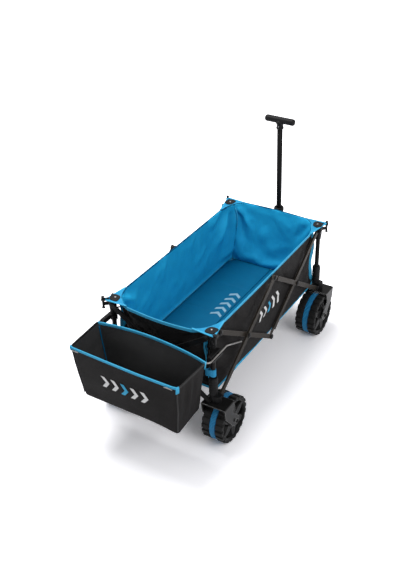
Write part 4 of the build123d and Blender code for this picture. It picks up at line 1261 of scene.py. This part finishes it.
back_bow_out, back_bow_up = 0.019, 0.009
bin_shell = []
bin_heel = Vector((bin_foot_front, -bin_foot_half))
for (rim, side, share), (foot, _, _) in zip(bin_rim_plan, bin_foot_plan):
    out = bin_sides[side]
    belly = math.sin(math.pi * share)
    sag = 0.012 * math.exp(-(((foot - bin_heel).length / 0.075) ** 2))
    for row in range(bin_wall_rows + 1):
        down = row / bin_wall_rows
        spot = rim.lerp(foot, down) + out * bin_bulge[side] * belly * math.sin(math.pi * down**1.3)
        crease = noise.noise(Vector((spot.x * 9 + down * 2, spot.y * 9 - down * 2, down * 3 + side)))
        spot += out * 0.0030 * crease * math.sin(math.pi * down)
        if side == 3:
            fold = math.sin(share * 17 + down * 2.4) * math.exp(-(((share - 0.42) / 0.34) ** 2))
            spot += out * 0.0042 * fold * math.sin(math.pi * min(1, down * 1.15))
        low = {0: 0.001 - 0.010 * belly**0.8, 2: 0.002 + 0.002 * belly}.get(side, 0.0)
        if side == 0:
            spot += out * 0.020 * back_bow(rim.y) * math.exp(-((down / 0.34) ** 2))
        high = bin_top + (bin_bottom - bin_top) * down - low * (1 - down) - sag * down**2
        high += left_lift(rim.y) * (1 - down)
        bin_shell.append(Vector((middle_x + spot.x, spot.y, high)))
    for row in range(1, bin_floor_rows + 1):
        inwards = row / bin_floor_rows
        goal = Vector((bin_middle.x, foot.y * 0.55)) if row < bin_floor_rows else bin_middle
        spot = foot.lerp(goal, inwards)
        high = bin_bottom - 0.0022 * math.sin(math.pi * inwards / 2) - sag * (1 - inwards) ** 2
        bin_shell.append(Vector((middle_x + spot.x, spot.y, high)))
bin_tall = bin_wall_rows + bin_floor_rows + 1
bin_wide = len(bin_rim_plan)
bin_sewn = [n for n in range(len(bin_shell)) if n % bin_tall in (0, bin_wall_rows, bin_tall - 1)]
bin_shell = settle(bin_shell, strip_faces(bin_wide, bin_tall, True), bin_sewn, growth=0.010, reach=0.006)
bin_strips = [bin_shell[n * bin_tall : (n + 1) * bin_tall] for n in range(bin_wide)]
bin_strips.append(bin_strips[0])
bin_bag = cloth_piece("bin_shell", bin_strips[::-1], bin_lining_and_sheen, black_cloth, bin_thick)[0]
bin_join = welded(bin_bag.data, 0.00001)
bin_join.to_mesh(bin_bag.data)
bin_join.free()
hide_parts("bin_bag")
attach(bin_bag, "bin")
bin_wire = shown("bin_wire", bpy.data.meshes.new("bin_wire"))
wire_shape = welded(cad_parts["bin_frame"].data, 0.00001)
for step in range(25):
    whole = [*wire_shape.verts, *wire_shape.edges, *wire_shape.faces]
    at = (0, -0.238 + step * 0.476 / 24, 0)
    bmesh.ops.bisect_plane(wire_shape, geom=whole, plane_co=at, plane_no=(0, 1, 0))
for point in wire_shape.verts:
    if point.co.x > middle_x + bin_back - 0.010 and abs(point.co.y) < bin_half_back - bin_bend:
        bow = back_bow(point.co.y)
        point.co += Vector((back_bow_out * bow, 0, back_bow_up * bow))
    point.co.z += left_lift(point.co.y, point.co.x - middle_x - bin_back)
wire_shape.to_mesh(bin_wire.data)
wire_shape.free()
bin_wire.data.shade_smooth()
bin_wire.data.materials.clear()
bin_wire.data.materials.append(wire_steel)
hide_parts("bin_frame")
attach(bin_wire, "bin")


def bin_side(side):
    """The strips of one side of the bin, from the middle of one bend to the next."""
    chosen = [n for n, (_, which, _) in enumerate(bin_rim_plan) if which == side]
    round_bend = [bin_strips[(chosen[-1] + step) % bin_wide] for step in (1, 2, 3)]
    return [bin_strips[n] for n in chosen[2:]] + round_bend


def from_middle(point):
    """The level direction from the bin's middle towards a point."""
    return Vector((point.x - middle_x - bin_middle.x, point.y, 0)).normalized()


rim_tapes = (
    ("back", 0, tape, 0.0140),
    ("left", 1, black_tape, 0.0100),
    ("front", 2, tape, 0.0115),
    ("right", 3, black_tape, 0.0100),
)
corner_tapes = (
    ("back_right", 0, tape, -0.0035),
    ("back_left", 1, seam_tape, -0.0035),
    ("front_left", 2, black_tape, 0.0022),
    ("front_right", 3, black_tape, 0.0022),
)
corner_wraps = (("front_right", 3, 3), ("back_right", 0, 3), ("front_left", 2, 2))
bin_trims = []
for name, side, material, deep in rim_tapes:
    rim = [strip[0] - upwards * 0.0035 for strip in bin_side(side)]
    if name == "front":
        end = rim[-1]
        rim += [end + Vector((0.006, -0.001, -0.001)), end + Vector((0.012, -0.0015, -0.004))]
    bin_trims.append(sweep(f"bin_rim_{name}", rim, band_outline(0.0056, deep), material, (0.02, 0, 1)))
    out = Vector((*bin_sides[side], 0))
    line = [point - upwards * (deep * 0.28) for point in rim[2:-3]]
    sewing = dark_thread if material == black_tape else thread
    bin_trims.append(stitched(f"bin_stitches_out_{name}", [point + out * 0.0028 for point in line], out, sewing))
    bin_trims.append(stitched(f"bin_stitches_in_{name}", [point - out * 0.0028 for point in line], -out, sewing))
for name, side, material, off in corner_tapes:
    line = bin_side(side)[0][1:bin_wall_rows]
    away = from_middle(line[0])
    path = [point + away * off for point in line]
    facing = away * math.copysign(1, off)
    bin_trims.append(sweep(f"bin_corner_{name}", path, band_outline(0.0060, 0.0030), material, facing))
for name, side, rows in corner_wraps:
    line = bin_side(side)[0][:rows]
    away = from_middle(line[0])
    path = [line[0] + upwards * 0.0015, line[0] - upwards * 0.004, *line[1:]]
    path = [point + away * 0.0034 for point in path]
    bin_trims.append(sweep(f"bin_wrap_{name}", path, band_outline(0.0150, 0.0046), tape, away))
wire_angles = [math.tau * step / 10 for step in range(10)]
wire_outline = [(0.0022 * math.cos(angle), 0.0022 * math.sin(angle)) for angle in wire_angles]
for name, at in (("left", 0.222), ("right", -0.205)):
    front = middle_x + bin_front - 0.0042
    high = bin_top - 0.0125 + left_lift(at)
    path = [Vector((front, at + step * 0.006 - 0.018, high)) for step in range(7)]
    bin_trims.append(sweep(f"bin_hem_wire_{name}", path, wire_outline, wire_steel))
for trim in bin_trims:
    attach(trim, "bin")

# --------------------------------------------------------- printed stripes
# Five plain chevrons in a row, screen printed in white with a blue one in
# the middle on the bin's front and the right side, and in pale blue-grey on
# the left floor half. They are plain decoration and stand for no maker.
white_print = cloth_finish(
    "white screen print", dark=(0.62, 0.62, 0.62), light=(0.78, 0.78, 0.78), rough=0.5,
    with_uv=False, Specular_IOR_Level=0.2,
)
pale_print = cloth_finish(
    "pale blue-grey screen print", dark=(0.20, 0.36, 0.46), light=(0.28, 0.46, 0.56), rough=0.5,
    with_uv=False, Specular_IOR_Level=0.2,
)
print_lift = 0.0004


def printed(name, spot, bars, material):
    """Slanting bars laid on a surface; spot turns (along, up) in metres into a place on it."""
    points, faces = [], []
    for start, wide, slant, low, high in bars:
        first = len(points)
        for row in range(13):
            up = low + (high - low) * row / 12
            for column in range(5):
                points.append(spot(start + wide * column / 4 + slant * (up - low), up))
        for row in range(12):
            for column in range(4):
                at = first + row * 5 + column
                faces.append((at, at + 1, at + 6, at + 5))
    mesh = bpy.data.meshes.new(name)
    mesh.from_pydata(points, [], faces)
    mesh.shade_smooth()
    mesh.materials.append(material)
    piece = shown(name, mesh)
    depth = piece.modifiers.new("thickness", "SOLIDIFY")
    depth.thickness, depth.offset = 0.0003, 1
    return piece


def on_strips(strips, out):
    """Places just off a cloth's outward face, measured from its middle and its foot."""
    middle, rows = len(strips) / 2, len(strips[0]) - 1
    wide = sum((b[rows // 2] - a[rows // 2]).length for a, b in zip(strips, strips[1:])) / (len(strips) - 1)
    tall = sum((b - a).length for a, b in zip(strips[int(middle)], strips[int(middle)][1:])) / rows

    def spot(along_it, up):
        across = min(max(middle + along_it / wide, 0), len(strips) - 1.001)
        high = min(max(up / tall, 0), rows - 0.001)
        a, b = int(across), int(high)
        low_edge = strips[a][b].lerp(strips[a + 1][b], across - a)
        high_edge = strips[a][b + 1].lerp(strips[a + 1][b + 1], across - a)
        return low_edge.lerp(high_edge, high - b) + out * print_lift

    return spot


def on_floor(along_it, up):
    """Places just off the left floor half, from the stripes' own middle and foot."""
    reach, side = along_it + 0.100, up + 0.010
    along_x = (reach - deck_rear) / (deck_front - deck_rear)
    return deck_point(along_x, (side - deck_parting) / (deck_side - deck_parting), 1) + upwards * print_lift


bin_front_strips = [strip[bin_wall_rows::-1] for strip in bin_side(2)]
on_bin = on_strips(bin_front_strips, Vector((-1, 0, 0)))
on_side = on_strips(wall_strips["right"], outwards["right"])
stripe_pitch, stripe_wide, stripe_rise, stripe_slant = 0.033, 0.013, 0.021, 0.7
for name, spot, size, low_edge, material in (
    ("bin", on_bin, 1.25, 0.100, white_print),
    ("side", on_side, 1.30, 0.120, white_print),
    ("floor", on_floor, 1.3, 0.0, pale_print),
):
    wide, bend = stripe_wide * size, low_edge + stripe_rise * size
    for number in range(5):
        ink = tape if number == 2 and name != "floor" else material
        start = (number - 2.5) * stripe_pitch * size
        bars = [
            (start, wide, stripe_slant, low_edge, bend),
            (start + stripe_slant * stripe_rise * size, wide, -stripe_slant, bend, bend + stripe_rise * size),
        ]
        stripe = printed(f"printed_stripe_{name}_{number}", spot, bars, ink)
        if name == "bin":
            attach(stripe, "bin")
        elif name == "side":
            fold_with(stripe, "right")
        else:
            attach(stripe, "floor_left")
            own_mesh(stripe)

# ----------------------------------------------------------------- strap
# A light blue hook-and-loop band wrapped once round the rear right post,
# with its tail pressed back on itself beside the bin.
loop_tape = cloth_finish(
    "light blue hook-and-loop", dark=(0.02, 0.25, 0.50), light=(0.05, 0.34, 0.61), rough=0.75, threads=520.0,
    depth=0.0005, with_uv=False, Specular_IOR_Level=0.1,
)
strap_low, strap_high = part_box("strap")
strap_middle = (Vector(strap_low) + Vector(strap_high)) / 2
strap_way = Vector((-0.46, 0.89, 0)).normalized()
strap_off = Vector((0.85, 0.53, 0))
strap_bend = (
    (0.004, -0.0105),
    (0.012, -0.0085),
    (0.020, -0.006),
    (0.027, -0.003),
    (0.0305, 0),
    (0.029, 0.003),
    (0.021, 0.004),
    (0.013, 0.007),
    (0.006, 0.0102),
)
strap_path = [strap_middle + strap_way * reach + strap_off * off for reach, off in strap_bend]
dress(["strap"], loop_tape)
strap_tail = sweep("strap_tail", strap_path, band_outline(0.0022, 0.0300), loop_tape)
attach(strap_tail, "rear_right_leg")

# ----------------------------------------------------------- pull handle
# A steel yoke under the front of the wagon, a tube that tilts in it, a rod
# that slides in the tube with a nylon collar to lock it, and a T grip.
# The yoke takes the forks' finish, with its painted edge highlight.
dress(["yoke"], fork_paint_with_edge_highlight)
rod_low, rod_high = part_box("handle_rod")
rod_foot = Vector((rod_high[0] - 0.0096, 0, rod_low[2]))
rod_head = Vector((rod_low[0] + 0.0096, 0, rod_high[2]))
rod_up = (rod_head - rod_foot).normalized()


def up_handle(height):
    """A point on the handle's axis, at a height above its pivot."""
    return rod_foot + rod_up * (height - 0.268)


tube_profile = [(0.0110, 0.016), (0.0146, 0.017), (0.0150, 0.019), (0.0150, 0.286)]
tube_profile += [(0.0128, 0.286), (0.0128, 0.028), (0.0110, 0.026)]
tube_shell = revolved("handle_tube_shell", tube_profile, up_handle(0), rod_up, post_paint, 48, hollow=True)
tongue_shape = bmesh.new()
bmesh.ops.create_cube(tongue_shape, size=1.0)
for vert in tongue_shape.verts:
    vert.co = Vector((vert.co.x * 0.0210, vert.co.y * 0.0196, vert.co.z * 0.036))
bmesh.ops.bevel(tongue_shape, geom=list(tongue_shape.edges), offset=0.004, segments=3, profile=0.5, affect="EDGES")
tongue_shape.transform(Matrix.Translation(up_handle(0.008)))
tongue = shown("handle_tongue", smooth_mesh("handle_tongue", tongue_shape, nylon))
pivot_profile = [(0.0015, -0.0212), (0.0058, -0.0208), (0.0068, -0.0192)]
pivot_profile += [(radius, -place) for radius, place in reversed(pivot_profile)]
pivot_bolt = revolved("handle_bolt", pivot_profile, up_handle(0), (0, 1, 0), zinc, 28)
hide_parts("handle_tube")
collar_profile = [(0.0156, 0.2600), (0.0190, 0.2600), (0.0206, 0.2620), (0.0206, 0.2720), (0.0222, 0.2740)]
collar_profile += [(0.0222, 0.2900), (0.0212, 0.2928), (0.0190, 0.2938), (0.0134, 0.2938), (0.0130, 0.2925)]
collar_profile += [(0.0130, 0.2880), (0.0156, 0.2875)]
lock_collar = revolved("handle_collar", collar_profile, up_handle(0), rod_up, nylon, 56, hollow=True)
collar_rib = pattern_block("collar rib pattern", (0.0034, 0.0130, 0.0014), 0.0005)
rib_spots = []
for number in range(18):
    turn = math.tau * number / 18
    away = Vector((math.cos(turn), math.sin(turn), 0))
    rib_spots.append((up_handle(0.282) + away * 0.0220, away, rod_up.cross(away)))
collar_ribs = set_out("handle_collar_ribs", rib_spots, collar_rib, nylon)
button_profile = [(0.0070, 0.0200), (0.0070, 0.0242), (0.0060, 0.0252), (0.0005, 0.0254)]
lock_button = revolved("handle_button", button_profile, up_handle(0.267), (-1, 0, 0), core_blue, 28)
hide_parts("collar")
rod_profile = [(0.0096, 0.2685), (0.0118, 0.2690), (0.0122, 0.2700)]
rod_profile += [(0.0122, 0.7040), (0.0110, 0.7045), (0.0096, 0.2700)]
rod_shell = revolved("handle_rod_shell", rod_profile, up_handle(0), rod_up, post_paint, 48, hollow=True)
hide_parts("handle_rod")
grip_z = 0.7305
neck_profile = [(0.0126, -0.0400), (0.0158, -0.0400), (0.0168, -0.0388), (0.0168, -0.0340), (0.0154, -0.0325)]
neck_profile += [(0.0156, -0.0200), (0.0180, -0.0130), (0.0215, -0.0070), (0.0150, 0.0)]
grip_neck = revolved("handle_grip_neck", neck_profile, up_handle(grip_z), rod_up, nylon, 48)
grip_end = [(0.0005, -0.0725), (0.0060, -0.0722), (0.0105, -0.0706), (0.0136, -0.0672)]
grip_end += [(0.0150, -0.0620), (0.0153, -0.0560)]
grip_ridges = [math.cos(math.tau * step / 4) for step in range(41)]
grip_profile = grip_end + [
    (0.0149 - 0.0004 * ridge, -0.0520 + 0.104 * step / 40) for step, ridge in enumerate(grip_ridges)
]
grip_profile += [(radius, -place) for radius, place in reversed(grip_end)]
grip_bar = revolved("handle_grip_bar", grip_profile, up_handle(grip_z), (0, 1, 0), nylon, 48)
screw_profile = [(0.0030, 0.0145), (0.0030, 0.0166), (0.0024, 0.0172)]
screw_profile += [(0.0014, 0.0172), (0.0012, 0.0166), (0.0001, 0.0165)]
screw_at = up_handle(grip_z - 0.0265)
grip_screw = revolved("handle_grip_screw", screw_profile, screw_at, (-1, 0, 0), zinc, 20)
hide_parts("grip")
for piece in (tube_shell, tongue, pivot_bolt, lock_collar, collar_ribs, lock_button):
    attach(piece, "handle")
for piece in (rod_shell, grip_neck, grip_bar, grip_screw):
    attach(piece, "handle_rod")

# -------------------------------------------------------- rivets and bolts
# Domed rivets join the links where they cross and meet, and a dark bolt
# with a round head holds each axle in its fork.
dome_profile = [(0.0062, 0.0), (0.0062, 0.0006), (0.0056, 0.0013), (0.0040, 0.0019)]
dome_profile += [(0.0018, 0.0021), (0.0010, 0.0014), (0.0002, 0.0012)]
head_profile = [(0.0086, 0.0), (0.0086, 0.0012), (0.0066, 0.0018), (0.0066, 0.0044)]
head_profile += [(0.0056, 0.0052), (0.0036, 0.0052), (0.0034, 0.0034), (0.0002, 0.0033)]
washer_profile = [(0.0122, 0.0), (0.0122, 0.0012), (0.0112, 0.0022), (0.0004, 0.0022)]
rivet_dome = revolved("rivet pattern", dome_profile, (0, 0, 0), (0, 0, 1), zinc, 18)
axle_head = revolved("axle bolt pattern", head_profile, (0, 0, 0), (0, 0, 1), zinc, 18)
washer = revolved("washer pattern", washer_profile, (0, 0, 0), (0, 0, 1), nylon, 24)
for pattern in (rivet_dome, axle_head, washer):
    pattern.hide_render = True


def link_spots(name, left):
    """Places on a side link's outward face: at its two end holes and at its middle."""
    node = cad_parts[name]
    low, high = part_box(name)
    points = [node.matrix_world @ vertex.co for vertex in node.data.vertices]
    near = [point.z for point in points if point.x < low[0] + 0.012]
    rising = sum(near) / len(near) < (low[2] + high[2]) / 2
    heights = (low[2] + 0.010, high[2] - 0.010)
    ends = [(low[0] + 0.010, heights[0 if rising else 1]), (high[0] - 0.010, heights[1 if rising else 0])]
    holes = [*ends, ((ends[0][0] + ends[1][0]) / 2, (ends[0][1] + ends[1][1]) / 2)]
    spots = []
    for x, z in holes:
        face = max(left * point.y for point in points if math.hypot(point.x - x, point.z - z) < 0.0125)
        spots.append(Vector((x, left * face, z)))
    return spots


def covers(other, point, left):
    """Whether another link lies over this one's pin."""
    in_line = math.hypot(other.x - point.x, other.z - point.z) < 0.01
    return in_line and left * other.y > left * point.y + 0.001


for side, left in (("r", -1), ("l", 1)):
    spots = {f"link_{side}{number}": link_spots(f"link_{side}{number}", left) for number in "1234"}
    for name, places in spots.items():
        others = [point for link, found in spots.items() if link != name for point in found]
        outer = [point for point in places if not any(covers(other, point, left) for other in others)]
        if not outer:
            continue
        under = [(point, (0, left, 0), (1, 0, 0)) for point in outer]
        over = [(point + Vector((0, left * 0.0020, 0)), facing, way) for point, facing, way in under]
        for piece in (
            set_out(f"washers_{name}", under, washer, nylon),
            set_out(f"rivets_{name}", over, rivet_dome, post_paint, turn=0.4),
        ):
            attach(piece, name)
fork_bodies = {
    "rr": "rear_right_leg",
    "rl": "rear_left_leg",
    "fr": "caster_front_right",
    "fl": "caster_front_left",
}
for corner, body in fork_bodies.items():
    hub = wheel_hub(corner)
    fork_low, fork_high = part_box(f"fork_{corner}")
    plates = ((fork_low[1], -1), (fork_high[1], 1))
    spots = [(Vector((hub.x, plate, hub.z)), (0, way, 0), (1, 0, 0)) for plate, way in plates]
    bolts = set_out(f"axle_bolts_{corner}", spots, axle_head, post_paint, turn=0.5)
    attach(bolts, body)
